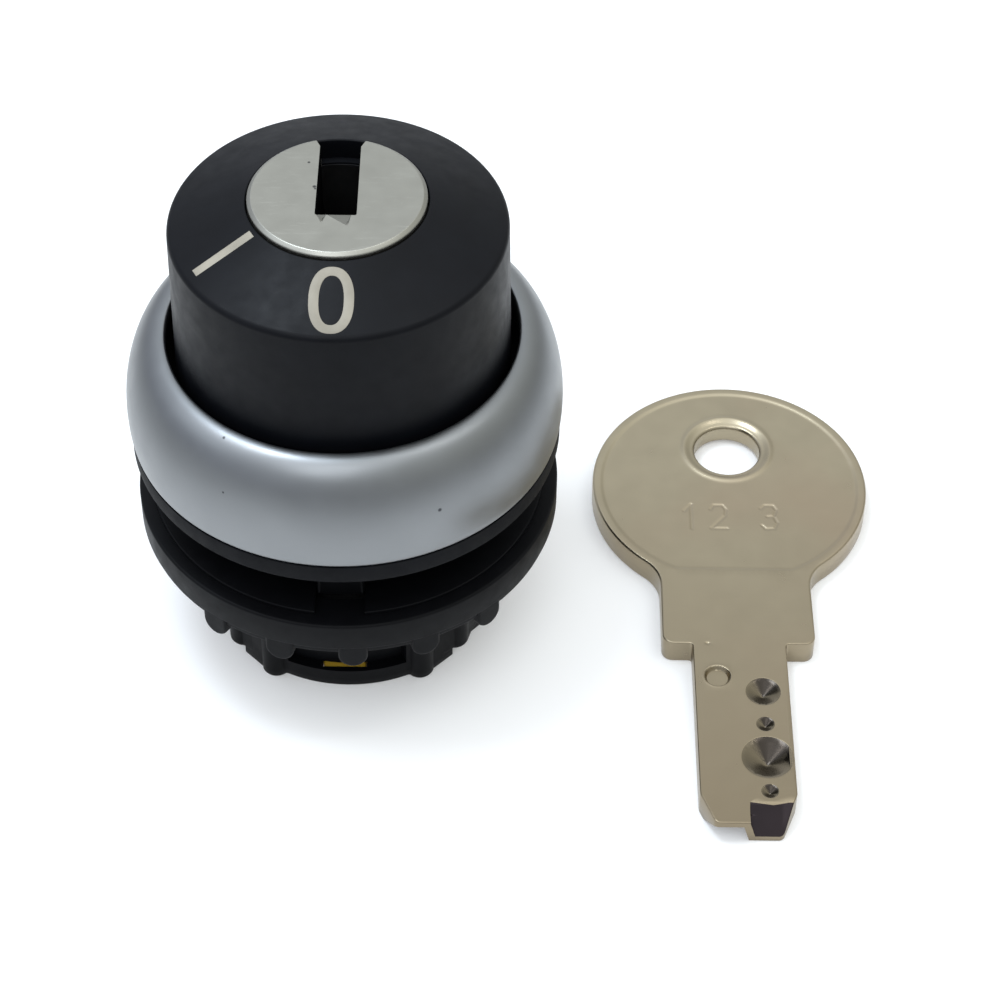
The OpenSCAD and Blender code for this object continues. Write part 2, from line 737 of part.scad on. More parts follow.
// what is cut into one face of the key: its upper face, at height key_t
module key_face_cuts() {
    // coined field of the head
    translate([0, 0, key_t - key_field]) linear_extrude(1) difference() {
        circle(r = key_head_r - key_rim);
        translate([-20, key_line_y - 20]) square([40, 20]);
        translate([0, key_hole_y]) circle(r = key_sink_r + 0.25);
    }
    translate([0, key_hole_y, key_t - key_sink_h])
        cylinder(r1 = key_hole_r, r2 = key_sink_r + 0.08, h = key_sink_h + 0.05);
    for (i = [0:3])
        translate([dimple_x, key_shoulder_y - pin_first - i * pin_pitch, key_t - dimple_depths[i]])
            cylinder(r1 = 0.04, r2 = dimple_r[i] * 1.03, h = dimple_depths[i] * 1.03);
    translate([key_pocket.x, key_shoulder_y + key_pocket.y, key_t - key_pocket_h])
        cylinder(r = key_pocket_r, h = 1);
    // lead-in ramp at the tip
    ramp_y = key_tip_y + key_ramp_l;
    translate([0.05, 0, 0]) rotate([90, 0, 90]) linear_extrude(key_blade_w) polygon([
        [ramp_y, key_t], [key_tip_y - 0.01, key_ramp_foot], [key_tip_y - 1, key_ramp_foot],
        [key_tip_y - 1, key_t + 1], [ramp_y, key_t + 1]
    ]);
}

module key() {
    color(nickel) translate([key_x, key_y, hub_z]) difference() {
        linear_extrude(key_t) key_outline();
        translate([0, key_hole_y, -cut]) cylinder(r = key_hole_r, h = key_t + 2 * cut);
        key_face_cuts();
        translate([0, 0, key_t]) rotate([0, 180, 0]) key_face_cuts();
    }
}

main_body();
guide_plate();
rear_screws();
coding_adapter();
panel_gasket();
bezel_ring();
head_cap();
mark_zero();
mark_one();
lock_shell();
shell_o_ring();
wiper_seal();
driver_pins();
pin_springs();
pin_cover();
detent_ball();
detent_spring();
detent_plug();
lock_cylinder();
key_pins();
cylinder_clip();
cam_rotor();
cam_screw();
plunger_left();
plunger_right();
plunger_spring_left();
plunger_spring_right();
thrust_washer();
fixing_ring();
key();
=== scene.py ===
"""Looks of a key-operated selector head and its loose dimple key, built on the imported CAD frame.

Lengths are millimetres, in the row frame: the lock's axis is Z and the panel seat is z = 0.
"""
from math import acos, atan2, ceil, copysign, cos, hypot, pi, radians, sin, sqrt, tan

import bmesh
import bpy
import numpy as np
from mathutils import Matrix, Vector
from mathutils.geometry import delaunay_2d_cdt


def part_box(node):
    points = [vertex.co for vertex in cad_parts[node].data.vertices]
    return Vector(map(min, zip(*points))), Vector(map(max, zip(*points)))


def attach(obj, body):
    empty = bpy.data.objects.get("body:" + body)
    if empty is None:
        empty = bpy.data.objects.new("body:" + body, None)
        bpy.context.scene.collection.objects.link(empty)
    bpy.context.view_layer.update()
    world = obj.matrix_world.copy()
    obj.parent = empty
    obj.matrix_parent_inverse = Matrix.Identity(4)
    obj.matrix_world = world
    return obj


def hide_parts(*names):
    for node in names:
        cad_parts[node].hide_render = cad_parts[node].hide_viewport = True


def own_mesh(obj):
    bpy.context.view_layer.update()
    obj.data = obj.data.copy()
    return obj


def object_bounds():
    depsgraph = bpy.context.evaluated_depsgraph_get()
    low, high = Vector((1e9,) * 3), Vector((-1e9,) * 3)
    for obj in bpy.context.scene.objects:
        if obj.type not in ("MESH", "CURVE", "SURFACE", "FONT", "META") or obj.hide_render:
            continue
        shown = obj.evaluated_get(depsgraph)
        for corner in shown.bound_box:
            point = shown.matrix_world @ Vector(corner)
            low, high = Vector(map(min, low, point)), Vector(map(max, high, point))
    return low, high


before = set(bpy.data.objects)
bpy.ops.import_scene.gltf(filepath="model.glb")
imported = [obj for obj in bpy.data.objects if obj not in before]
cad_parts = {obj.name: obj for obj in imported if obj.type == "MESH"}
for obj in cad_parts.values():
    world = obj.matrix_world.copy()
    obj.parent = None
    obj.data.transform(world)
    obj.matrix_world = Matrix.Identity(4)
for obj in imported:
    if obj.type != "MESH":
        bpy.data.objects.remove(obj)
cad_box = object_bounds()

MM = 0.001
SHARP = radians(32)  # edges that turn more than this stay sharp
TURN = 2 * pi


def node_box(name):
    """Lowest and highest corner of a CAD node, in millimetres."""
    low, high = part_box(name)
    return low / MM, high / MM


# ---- places that come from the frame ----

floor_z = cad_box[0].z / MM
_, gasket_high = node_box("panel_gasket")
bezel_low, bezel_high = node_box("bezel_ring")
cap_low, cap_high = node_box("head_cap")
lock_low, lock_high = node_box("lock_cylinder")
ring_low, ring_high = node_box("fixing_ring")
washer_low, washer_high = node_box("thrust_washer")
key_low, key_high = node_box("key")


# ---- mesh helpers ----

def add_object(name, data):
    """A new object in the scene."""
    obj = bpy.data.objects.new(name, data)
    bpy.context.scene.collection.objects.link(obj)
    return obj


def piece(name, verts, faces, sharp=SHARP):
    """A smooth-shaded mesh object from points in millimetres."""
    mesh = bpy.data.meshes.new(name)
    mesh.from_pydata([tuple(c * MM for c in v) for v in verts], [], faces)
    obj = add_object(name, mesh)
    tidy_mesh(mesh, sharp)
    return obj


def tidy_mesh(mesh, sharp=SHARP):
    """Faces look outward, doubled points are joined and shading breaks only at real edges."""
    work = bmesh.new()
    work.from_mesh(mesh)
    bmesh.ops.remove_doubles(work, verts=work.verts, dist=1e-7)
    bmesh.ops.recalc_face_normals(work, faces=work.faces)
    work.to_mesh(mesh)
    work.free()
    mesh.polygons.foreach_set("use_smooth", [True] * len(mesh.polygons))
    mesh.set_sharp_from_angle(angle=sharp)


def skin(name, loops, closed=True, sharp=SHARP):
    """Quads between neighbouring closed loops of points. Open ends are capped."""
    count, rows = len(loops[0]), len(loops)
    faces = []
    for i in range(rows if closed else rows - 1):
        j = (i + 1) % rows
        for k in range(count):
            m = (k + 1) % count
            faces.append((i * count + k, i * count + m, j * count + m, j * count + k))
    if not closed:
        faces.append(tuple(range(count)))
        faces.append(tuple((rows - 1) * count + k for k in range(count)))
    return piece(name, [p for loop in loops for p in loop], faces, sharp)


def rounded(corners, steps=6):
    """A closed outline through corners (x, y, radius), each rounded to its radius."""
    outline = []
    for i, (x, y, radius) in enumerate(corners):
        here = Vector((x, y))
        back = (Vector(corners[i - 1][:2]) - here).normalized()
        ahead = (Vector(corners[(i + 1) % len(corners)][:2]) - here).normalized()
        if radius == 0:
            outline.append((x, y))
            continue
        half = back.angle(ahead) / 2
        centre = here + (back + ahead).normalized() * radius / sin(half)
        start = here + back * radius / tan(half) - centre
        sweep = (pi - 2 * half) * (1 if back.cross(ahead) < 0 else -1)
        first = atan2(start.y, start.x)
        for k in range(steps + 1):
            a = first + sweep * k / steps
            outline.append((centre.x + radius * cos(a), centre.y + radius * sin(a)))
    return outline


def arc(cx, cy, r, a0, a1, parts):
    """Points on an arc round (cx, cy)."""
    angles = [a0 + (a1 - a0) * k / parts for k in range(parts + 1)]
    return [(cx + r * cos(a), cy + r * sin(a)) for a in angles]


def ring_loop(radius, z, count=240):
    """A circle of points, where the radius may be a function of the angle."""
    angles = [TURN * k / count for k in range(count)]
    radii = [radius(a) if callable(radius) else radius for a in angles]
    return [(r * cos(a), r * sin(a), z) for r, a in zip(radii, angles)]


def lathe(name, outline, count=240):
    """A ring turned from a closed outline of (radius, height)."""
    return skin(name, [ring_loop(r, z, count) for r, z in outline])


def block(name, low, high):
    """A plain box, used to cut with."""
    (x0, y0, z0), (x1, y1, z1) = low, high
    return prism(name, [(x0, y0), (x1, y0), (x1, y1), (x0, y1)], z0, z1)


def prism(name, outline, z0, z1):
    """An upright solid on a flat outline."""
    return skin(name, [[(x, y, z) for x, y in outline] for z in (z0, z1)], closed=False)


def apply_modifiers(obj):
    """Replaces the mesh by what its modifiers make of it."""
    graph = bpy.context.evaluated_depsgraph_get()
    mesh = bpy.data.meshes.new_from_object(obj.evaluated_get(graph))
    obj.modifiers.clear()
    old = obj.data
    obj.data = mesh
    bpy.data.meshes.remove(old)
    mesh.name = obj.name


def combine(obj, others, operation="DIFFERENCE"):
    """Cuts the other solids out of obj, or joins them to it, and removes them."""
    for other in others:
        step = obj.modifiers.new("combine", "BOOLEAN")
        step.operation = operation
        step.solver = "EXACT"
        step.object = other
    apply_modifiers(obj)
    for other in others:
        bpy.data.objects.remove(other)
    tidy_mesh(obj.data)


def round_edges(obj, width, angle=SHARP):
    """A bevel on the edges that turn more than an angle."""
    bevel = obj.modifiers.new("round_edges", "BEVEL")
    bevel.width = width * MM
    bevel.segments = 2
    bevel.limit_method = "ANGLE"
    bevel.angle_limit = angle
    return bevel


def soften(obj, width):
    """Rounds the sharp edges for good, and keeps flat faces flat."""
    join = obj.modifiers.new("flat_faces", "DECIMATE")
    join.decimate_type = "DISSOLVE"
    join.angle_limit = radians(0.5)
    round_edges(obj, width).harden_normals = True
    apply_modifiers(obj)


def finish_piece(obj, body, slot, *nodes):
    """Gives a piece the finish of its slot and its place in the frame."""
    obj.data.materials.clear()
    obj.data.materials.append(FINISHES[slot])
    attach(obj, body)
    if nodes:
        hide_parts(*nodes)


# ---- material helpers ----

def add_node(tree, kind, inputs=None, **settings):
    """A new node with its settings. Each input is a value or another node's output."""
    made = tree.nodes.new("ShaderNode" + kind)
    for key, value in settings.items():
        setattr(made, key, value)
    for key, value in (inputs or {}).items():
        if isinstance(value, bpy.types.NodeSocket):
            tree.links.new(value, made.inputs[key])
        else:
            made.inputs[key].default_value = value
    return made


def rgba(colour):
    """A colour as a socket takes it. The output of a node stays as it is."""
    return (*colour, 1) if isinstance(colour, tuple) else colour


class Finish:
    """A node material around one Principled shader, in the object's own coordinates."""

    def __init__(self, name, colour, metallic, roughness):
        self.material = bpy.data.materials.new(name)
        self.material.use_nodes = True
        self.tree = self.material.node_tree
        self.shader = self.tree.nodes["Principled BSDF"]
        self.set("Base Color", (*colour, 1))
        self.set("Metallic", metallic)
        self.set("Roughness", roughness)
        self.place = self.node("TexCoord").outputs["Object"]
        self.bump_from = None

    def node(self, kind, inputs=None, **settings):
        """Adds a node to the material."""
        return add_node(self.tree, kind, inputs, **settings)

    def noise(self, size, detail=3.0, stretch=(1, 1, 1), turn=(0, 0, 0), distortion=0.0):
        """Cloudy noise whose features are about size millimetres across."""
        at = self.node("Mapping",
                       {"Vector": self.place, "Scale": stretch, "Rotation": turn}).outputs["Vector"]
        return self.node("TexNoise", {
            "Vector": at, "Scale": 1 / (size * MM), "Detail": detail, "Distortion": distortion
        }).outputs["Fac"]

    def spots(self, size, radius, share):
        """1 in small round spots, one in a share of the cells that are size millimetres across."""
        cells = self.node("TexVoronoi", {"Vector": self.place, "Scale": 1 / (size * MM)})
        near = self.ramp(cells.outputs["Distance"], radius * 0.6, radius, 1, 0)
        chance = self.node("SeparateColor", {"Color": cells.outputs["Color"]})
        chosen = self.math("LESS_THAN", chance.outputs["Red"], share)
        return self.math("MULTIPLY", near, chosen)

    def ramp(self, source, low, high, at_low=0.0, at_high=1.0):
        """A source that runs from low to high, brought to the range at_low to at_high."""
        return self.node("MapRange", {
            "Value": source, "From Min": low, "From Max": high, "To Min": at_low, "To Max": at_high
        }).outputs["Result"]

    def math(self, operation, a, b):
        """A sum on two inputs, each a number or the output of a node."""
        return self.node("Math", {0: a, 1: b}, operation=operation).outputs["Value"]

    def mix(self, share, a, b):
        """Colour a where share is 0 and b where it is 1."""
        return self.node("Mix", {"Factor": share, 6: rgba(a), 7: rgba(b)},
                         data_type="RGBA").outputs[2]

    def set(self, socket, value):
        """Sets one of the shader's own sockets."""
        self.shader.inputs[socket].default_value = value

    def feed(self, socket, source):
        """Feeds one of the shader's own sockets."""
        self.tree.links.new(source, self.shader.inputs[socket])

    def bump(self, height, depth, strength=1.0):
        """Adds relief of a depth in millimetres."""
        inputs = {"Height": height, "Strength": strength, "Distance": depth * MM}
        if self.bump_from:
            inputs["Normal"] = self.bump_from
        made = self.node("Bump", inputs)
        self.bump_from = made.outputs["Normal"]
        self.feed("Normal", self.bump_from)


DIRT = (0.03, 0.03, 0.035)
DUST = (0.12, 0.12, 0.13)
SHADED_SIDE = (-0.35, -0.94, 0)  # walls that face this way get a painted shade in their colour


def nicks(made, tint, places):
    """Small dark nicks in a surface, each at a place (x, y, z) with a radius."""
    for x, y, z, radius in places:
        apart = made.node("VectorMath", {0: made.place, 1: (x * MM, y * MM, z * MM)},
                          operation="DISTANCE").outputs["Value"]
        share = made.ramp(apart, radius * 0.5 * MM, radius * MM, 0.85, 0.0)
        tint = made.mix(share, tint, DIRT)
    return tint


def scaled(colour, factor):
    """A colour made lighter or darker."""
    return tuple(c * factor for c in colour)


def moulded_plastic(name, colour, roughness, grain_depth=0.004, dust=0.0, gloss=0.5):
    """Moulded plastic: fine spark texture, faint flow clouds and a little dust."""
    made = Finish(name, colour, 0, roughness)
    made.set("Specular IOR Level", gloss)
    clouds = made.noise(2.6, 4)
    tint = made.mix(made.ramp(clouds, 0.3, 0.7), scaled(colour, 0.84), scaled(colour, 1.18))
    if dust:
        specks = made.spots(1.7, 0.045, dust)
        fluff = made.spots(0.9, 0.03, dust)
        tint = made.mix(made.math("MAXIMUM", specks, fluff), tint, DUST)
    made.feed("Base Color", tint)
    rough = made.ramp(made.noise(1.1, 5), 0.25, 0.75, roughness - 0.06, roughness + 0.07)
    made.feed("Roughness", rough)
    made.bump(made.noise(0.05, 2), grain_depth)
    made.bump(made.noise(1.8, 3), 0.010)
    return made


def scratches(made, size, turn, threshold):
    """Thin lines in one direction, as a mask."""
    lines = made.noise(size, 2, stretch=(0.06, 1, 1), turn=(0, 0, radians(turn)), distortion=0.15)
    return made.ramp(lines, threshold, threshold + 0.02)


def metal(name, colour, roughness, cloud=0.1, scratch=0.5, pits=0.0, tarnish=None, fade=None,
          marks=(), painted_shade=None):
    """Bare or plated metal: cloudy tarnish, fine scratches both ways and small pits.

    Fade is (from y, to y, colour): a painted shade that darkens the metal along y. The last
    argument is a colour painted as shade on walls that face the shaded side.
    """
    made = Finish(name, colour, 1, roughness)
    clouds = made.ramp(made.noise(3.2, 2), 0.3, 0.7)
    tint = made.mix(clouds, scaled(colour, 1 - cloud), scaled(colour, 1 + cloud * 0.6))
    if tarnish:
        tint = made.mix(made.ramp(made.noise(11, 3), 0.45, 0.75), tint, tarnish)
    # painted shade: the colour darkens along y towards the shade colour
    if fade:
        near_y, far_y, shade_colour = fade
        along = made.node("SeparateXYZ", {"Vector": made.place}).outputs["Y"]
        tint = made.mix(made.ramp(along, near_y * MM, far_y * MM), tint, shade_colour)
    wear = made.math("MAXIMUM", scratches(made, 0.11, 24, 0.66), scratches(made, 0.13, -63, 0.67))
    if pits:
        tint = made.mix(made.spots(1.6, 0.05, pits), tint, DIRT)
    # painted shade: walls that face the shaded side take a darker colour, standing in for a dark
    # reflection
    if painted_shade:
        normal = made.node("NewGeometry").outputs["True Normal"]
        facing = made.node("VectorMath", {0: normal, 1: SHADED_SIDE},
                           operation="DOT_PRODUCT").outputs["Value"]
        tint = made.mix(made.ramp(facing, 0.12, 0.36), tint, painted_shade)
    made.feed("Base Color", nicks(made, tint, marks))
    rough = made.ramp(made.noise(1.6, 3), 0.25, 0.75, roughness - 0.03, roughness + 0.04)
    made.feed("Roughness", made.math("ADD", rough, made.math("MULTIPLY", wear, 0.12 * scratch)))
    made.bump(made.noise(0.06, 2), 0.0008)
    made.bump(wear, 0.0015, strength=scratch)
    made.bump(made.noise(3.4, 1), 0.008)
    return made


# ---- materials ----

BEZEL_NICKS = [(6.84, -13.16, 5.4, 0.17), (-7.29, -12.7, 6.3, 0.1), (-7.21, -10.56, 9.2, 0.13)]
LOCK_NICKS = [(-1.99, 3.13, 21, 0.12), (-1.5, 0.71, 21, 0.16), (-1.44, 0.5, 21, 0.1)]
KEY_TARNISH = (0.365, 0.300, 0.215)
# painted shade: the key's colour darkens towards -y
KEY_SHADE_FADE = (12, -24, (0.243, 0.198, 0.134))


def make_finishes():
    """The finish of every material slot by its name, of the key slot, painted near black as shade,
    and of the key's cuts, painted darker as shade.
    """
    finishes = [
        moulded_plastic("black_plastic", (0.0026, 0.0028, 0.0036), 0.48, dust=0.05, gloss=0.095),
        moulded_plastic("cap_plastic", (0.0034, 0.0038, 0.0054), 0.42, dust=0.03, gloss=0.12),
        moulded_plastic("grey_plastic", (0.045, 0.046, 0.05), 0.5),
        moulded_plastic("white_plastic", (0.68, 0.67, 0.62), 0.42),
        moulded_plastic("yellow_plastic", (0.80, 0.50, 0.05), 0.42),
        moulded_plastic("mark_white", (0.305, 0.28, 0.23), 0.5, gloss=0.22),
        moulded_plastic("gasket_rubber", (0.0034, 0.0038, 0.0052), 0.6, 0.008, gloss=0.09),
        metal("satin_bezel", (0.243, 0.253, 0.262), 0.37, cloud=0.03, scratch=0.25,
              marks=BEZEL_NICKS),
        metal("lock_face_metal", (0.350, 0.345, 0.309), 0.36, cloud=0.05, scratch=0.8, pits=0.04,
              marks=LOCK_NICKS),
        # painted shade: zinc darkened to dark grey so that the lock's shell deep in the slot stays
        # dark
        metal("die_cast_zinc", (0.10, 0.10, 0.105), 0.5, cloud=0.15),
        metal("nickel_silver", (0.365, 0.318, 0.228), 0.30, cloud=0.04, scratch=0.5, pits=0.03,
              tarnish=KEY_TARNISH, fade=KEY_SHADE_FADE),
        metal("spring_steel", (0.55, 0.55, 0.56), 0.25, scratch=0.2),
        metal("zinc_steel", (0.60, 0.60, 0.58), 0.3, cloud=0.12),
        metal("brass_pins", (0.72, 0.52, 0.22), 0.28, scratch=0.3),
        # painted shade: the key slot's walls are near black, standing in for the shade deep in the
        # slot
        moulded_plastic("slot_painted_shade", (0.0008, 0.0008, 0.0010), 0.8, gloss=0.05),
        # dimples: cut nickel, painted darker than the key as shade in the hollows, with more
        # painted shade on walls that face the shaded side
        metal("cut_nickel_and_shade", (0.200, 0.168, 0.118), 0.24, cloud=0.03, scratch=0.2,
              painted_shade=(0.045, 0.038, 0.032)),
        # the milled ramp at the tip, painted near black: a painted dark reflection
        metal("milled_nickel_painted_dark", (0.030, 0.024, 0.026), 0.30, cloud=0.08, scratch=0.4),
    ]
    return {made.material.name.split(".")[0]: made.material for made in finishes}


FINISHES = make_finishes()


# ---- switch head ----

CAP_HOLE_R = 5.95
CAP_EDGE_R = 11.15
CAP_EDGE_Z = 18.64
CAP_EDGE_ROUND = 0.5
FLANGE_TOP = 4.4
FLANGE_LOW = 1.2
SKIRT_INNER_R = 13.35
NOTCH_HALF = 1.7  # half the width of the notches in gasket and washer
NOSE_HALF = 1.6


def cone_z(radius):
    """Height of the cap's top cone."""
    slope = (CAP_EDGE_Z - cap_high.z) / (CAP_EDGE_R - CAP_HOLE_R)
    return cap_high.z + (radius - CAP_HOLE_R) * slope


def make_cap():
    """The cap: a slightly tapered wall, a soft edge and a conical top round the lock."""
    wall_r, roof_z = 9.9, 17.55
    recess_r, recess_z = 7.05, 19.0
    outline = rounded([
        (CAP_HOLE_R, cap_high.z, 0.1), (CAP_EDGE_R + 0.03, CAP_EDGE_Z, CAP_EDGE_ROUND),
        (cap_high.x, cap_low.z, 0.1), (wall_r, cap_low.z, 0), (wall_r, roof_z, 0),
        (recess_r, roof_z, 0), (recess_r, recess_z, 0), (CAP_HOLE_R, recess_z, 0.05)
    ], 8)
    finish_piece(lathe("cap_shell", outline, 320), "head", "cap_plastic", "head_cap")


def oval(middle, length, width, count=96):
    """Points round a squarish oval (a superellipse) that lies along +X."""
    power = 2 / 2.35
    points = []
    for k in range(count):
        c, s = cos(TURN * k / count), sin(TURN * k / count)
        points.append((middle + copysign(abs(c) ** power, c) * length / 2,
                       copysign(abs(s) ** power, s) * width / 2))
    return points


def inlay(name, loops, angle, node, closed=True):
    """A white mark let into the cone. Loops are (outline along +X, lift above the cone)."""
    c, s = cos(angle), sin(angle)
    placed = [[(x * c - y * s, x * s + y * c, cone_z(hypot(x, y)) + lift) for x, y in outline]
              for outline, lift in loops]
    finish_piece(skin(name, placed, closed), "head", "mark_white", node)


def densely_even(corners, per_side):
    """Each side of a polygon cut into the same count of parts, so that loops of it match."""
    points = []
    for i, a in enumerate(corners):
        b = corners[(i + 1) % len(corners)]
        points += [(a[0] + (b[0] - a[0]) * k / per_side, a[1] + (b[1] - a[1]) * k / per_side)
                   for k in range(per_side)]
    return points


def make_marks():
    """The zero and the one, let into the cone and just proud of it."""
    proud, sunk = 0.02, -0.35
    edge = [(0, sunk), (0, proud - 0.05), (0.02, proud - 0.015), (0.05, proud)]  # (inset, lift)

    length, width, end_stroke, side_stroke = 4.42, 2.93, 0.62, 0.69
    zero_start, zero_angle = 6.4, radians(-90)
    middle = zero_start + length / 2

    def zero(share, inset):
        """The outline at a share of the stroke's width, less a small distance."""
        return oval(middle, length - 2 * (end_stroke * share + inset),
                    width - 2 * (side_stroke * share + inset))

    loops = [(zero(0, inset), lift) for inset, lift in edge]
    loops += [(zero(1, -inset), lift) for inset, lift in reversed(edge)]
    inlay("position_mark_0", loops, zero_angle, "mark_zero")

    one_start, one_end, one_half, one_angle = 6.28, 10.48, 0.335, radians(-150)
    aside = 0.3  # the bar stands this far off the line through the axis

    def bar(inset):
        """The bar's outline, moved inward."""
        low, high, half = one_start + inset, one_end - inset, one_half - inset
        return densely_even([(low, aside - half), (high, aside - half),
                             (high, aside + half), (low, aside + half)], 40)

    loops = [(bar(inset), lift) for inset, lift in edge + [(0.2, proud)]]
    inlay("position_mark_1", loops, one_angle, "mark_one", closed=False)


def make_bezel():
    """The bezel: a crown that is a quarter of an ellipse, a tapered skirt and a hollow back."""
    top, low, wide = bezel_high.z, bezel_low.z, bezel_high.x
    lip_r, lip_round, wide_z, draft = 11.95, 0.16, 3.4, 0.18
    crown = [(lip_r + lip_round + (wide - lip_r - lip_round) * sin(a),
              wide_z + (top - wide_z) * cos(a)) for a in (radians(2.5 * k) for k in range(37))]
    skirt = [(wide - draft * (1 - cos(a)), wide_z - (wide_z - low - 0.12) * sin(a))
             for a in (radians(7.5 * k) for k in range(1, 13))]
    under = [(wide - draft - 0.04, low + 0.03), (wide - draft - 0.12, low)]
    hollow = [(SKIRT_INNER_R, low), (SKIRT_INNER_R, FLANGE_TOP), (13.0, FLANGE_TOP), (13.0, 5.8),
              (12.55, 7.8), (lip_r, 8.7)]
    lip = [(lip_r + lip_round * (1 - cos(radians(a))), top - lip_round * (1 - sin(radians(a))))
           for a in (0, 22, 45, 67)]
    obj = lathe("bezel", crown + skirt + under + hollow + lip, 320)
    finish_piece(obj, "head", "satin_bezel", "bezel_ring")


def make_gasket():
    """The gasket between bezel and panel, with the notch for the nose."""
    inner_r = 11.1
    outline = rounded([
        (inner_r, 0, 0), (gasket_high.x, 0, 0.12), (gasket_high.x, gasket_high.z, 0.06),
        (SKIRT_INNER_R, gasket_high.z, 0), (SKIRT_INNER_R, FLANGE_LOW, 0), (inner_r, FLANGE_LOW, 0)
    ], 5)
    obj = lathe("gasket", outline, 280)
    combine(obj, [block("notch", (-NOTCH_HALF, -12.1, -1), (NOTCH_HALF, -9, gasket_high.z + 1))])
    finish_piece(obj, "head", "gasket_rubber", "panel_gasket")


# ---- body ----

NECK_R = 11.0
NECK_LOW = -9.3
BORE_R = 8.3
THREAD_PITCH = 1.5
THREAD_DEPTH = 0.5
THREAD_TOP = -1.0
THREAD_LOW = -8.6


def thread_cut(z, angle):
    """How deep the helical groove of the neck is at a height and an angle."""
    phase = ((z - THREAD_TOP) / THREAD_PITCH + angle / TURN) % 1
    flank, root = 0.41, 0.09
    from_middle = abs(phase - 0.5)
    depth = max(0.0, min(1.0, (flank - from_middle) / (flank - root)))
    runout = max(0.0, min(1.0, (THREAD_TOP - z) / 0.5, (z - THREAD_LOW) / 0.5))
    return THREAD_DEPTH * depth * runout


def make_housing():
    """The body with its threaded neck, and the nose that fits the panel's notch."""
    count, rows = 288, 112
    seat_z = 4.6  # where the bore widens for the lock's shell
    tube_inner_r, tube_r, tube_top = 8.9, 9.8, 14
    flange_r = 13.3
    upper = rounded([
        (BORE_R, NECK_LOW, 0), (BORE_R, seat_z, 0), (tube_inner_r, seat_z, 0),
        (tube_inner_r, tube_top, 0), (tube_r, tube_top, 0), (tube_r, FLANGE_TOP, 0),
        (flange_r, FLANGE_TOP, 0.1), (flange_r, FLANGE_LOW, 0.1), (NECK_R, FLANGE_LOW, 0)
    ])
    loops = [ring_loop(r, z, count) for r, z in upper]
    for k in range(rows + 1):
        z = THREAD_TOP + 0.2 - (THREAD_TOP + 0.2 - THREAD_LOW) * k / rows
        loops.append(ring_loop(lambda a: NECK_R - thread_cut(z, a), z, count))
    for r, z in ((NECK_R, NECK_LOW + 0.1), (NECK_R - 0.1, NECK_LOW)):
        loops.append(ring_loop(r, z, count))
    obj = skin("housing", loops)
    finish_piece(obj, "head", "black_plastic", "main_body")

    nose_r, nose_low = 12.0, -4.4
    nose = block("housing_nose", (-NOSE_HALF, -nose_r, nose_low), (NOSE_HALF, -10.2, FLANGE_LOW))
    combine(nose, [lathe("round", [(nose_r, -6), (14, -6), (14, 4), (nose_r, 4)], 400)])
    soften(nose, 0.12)
    finish_piece(nose, "head", "black_plastic")


RIB_R = 0.95
HUB_R = 10.0
RIB_C = HUB_R + 0.75 - RIB_R  # distance of a rib's centre from the axis
RIB_FIRST = 32
RIB_COUNT = 7
RIB_STEP = (180 - 2 * RIB_FIRST) / (RIB_COUNT - 1)
SHORT_RIB_LIFT = 0.9


def hub_outline():
    """Points round the hub with its ribs, each marked 1 if it belongs to a short rib."""
    half_step = radians(RIB_STEP / 2)
    scallop_c = HUB_R + 1.2
    rib_at = Vector((RIB_C, 0))
    between = Vector((scallop_c * cos(half_step), scallop_c * sin(half_step))) - rib_at
    scallop_r = between.length - RIB_R
    meet = atan2(between.y, between.x)
    # edge is the angle round the hub at which a rib leaves the hub's circle
    edge = acos((RIB_C ** 2 + HUB_R ** 2 - RIB_R ** 2) / (2 * RIB_C * HUB_R))
    leave = atan2(HUB_R * sin(edge), HUB_R * cos(edge) - RIB_C)
    points = []

    def add(at, radius, a0, a1, turn, short, parts):
        """Points on an arc round a place, turned round the hub."""
        for k in range(parts):
            a = a0 + (a1 - a0) * (k + 0.5) / parts
            p = at + radius * Vector((cos(a), sin(a)))
            p.rotate(Matrix.Rotation(turn, 2))
            points.append((p.x, p.y, short))

    for side in (0, 180):
        for i in range(RIB_COUNT):
            turn = radians(side - 90 + RIB_FIRST + i * RIB_STEP)
            last = i == RIB_COUNT - 1
            short = 0 if i == 0 or last else 1
            start, end = -leave if i == 0 else -meet, leave if last else meet
            add(rib_at, RIB_R, start, end, turn, short, 16)
            if not last:
                middle = Matrix.Rotation(half_step, 2) @ Vector((scallop_c, 0))
                inward, spread = pi + half_step, half_step - meet
                add(middle, scallop_r, inward + spread, inward - spread, turn, 0, 12)
        gap = radians(2 * RIB_FIRST) - 2 * edge
        start = radians(side - 90 - RIB_FIRST + 180) + edge
        add(Vector((0, 0)), HUB_R, start, start + gap, 0, 0, 40)
    return points


def hub_loop(points, z, inset, short_inset):
    """The hub's outline at a height. The short ribs' own inset is None where they are missing."""
    loop = []
    for x, y, short in points:
        r = hypot(x, y)
        new = r - inset
        if short:
            new = min(r, HUB_R - 0.12) - inset if short_inset is None else r - short_inset
        loop.append((x * new / r, y * new / r, z))
    return loop


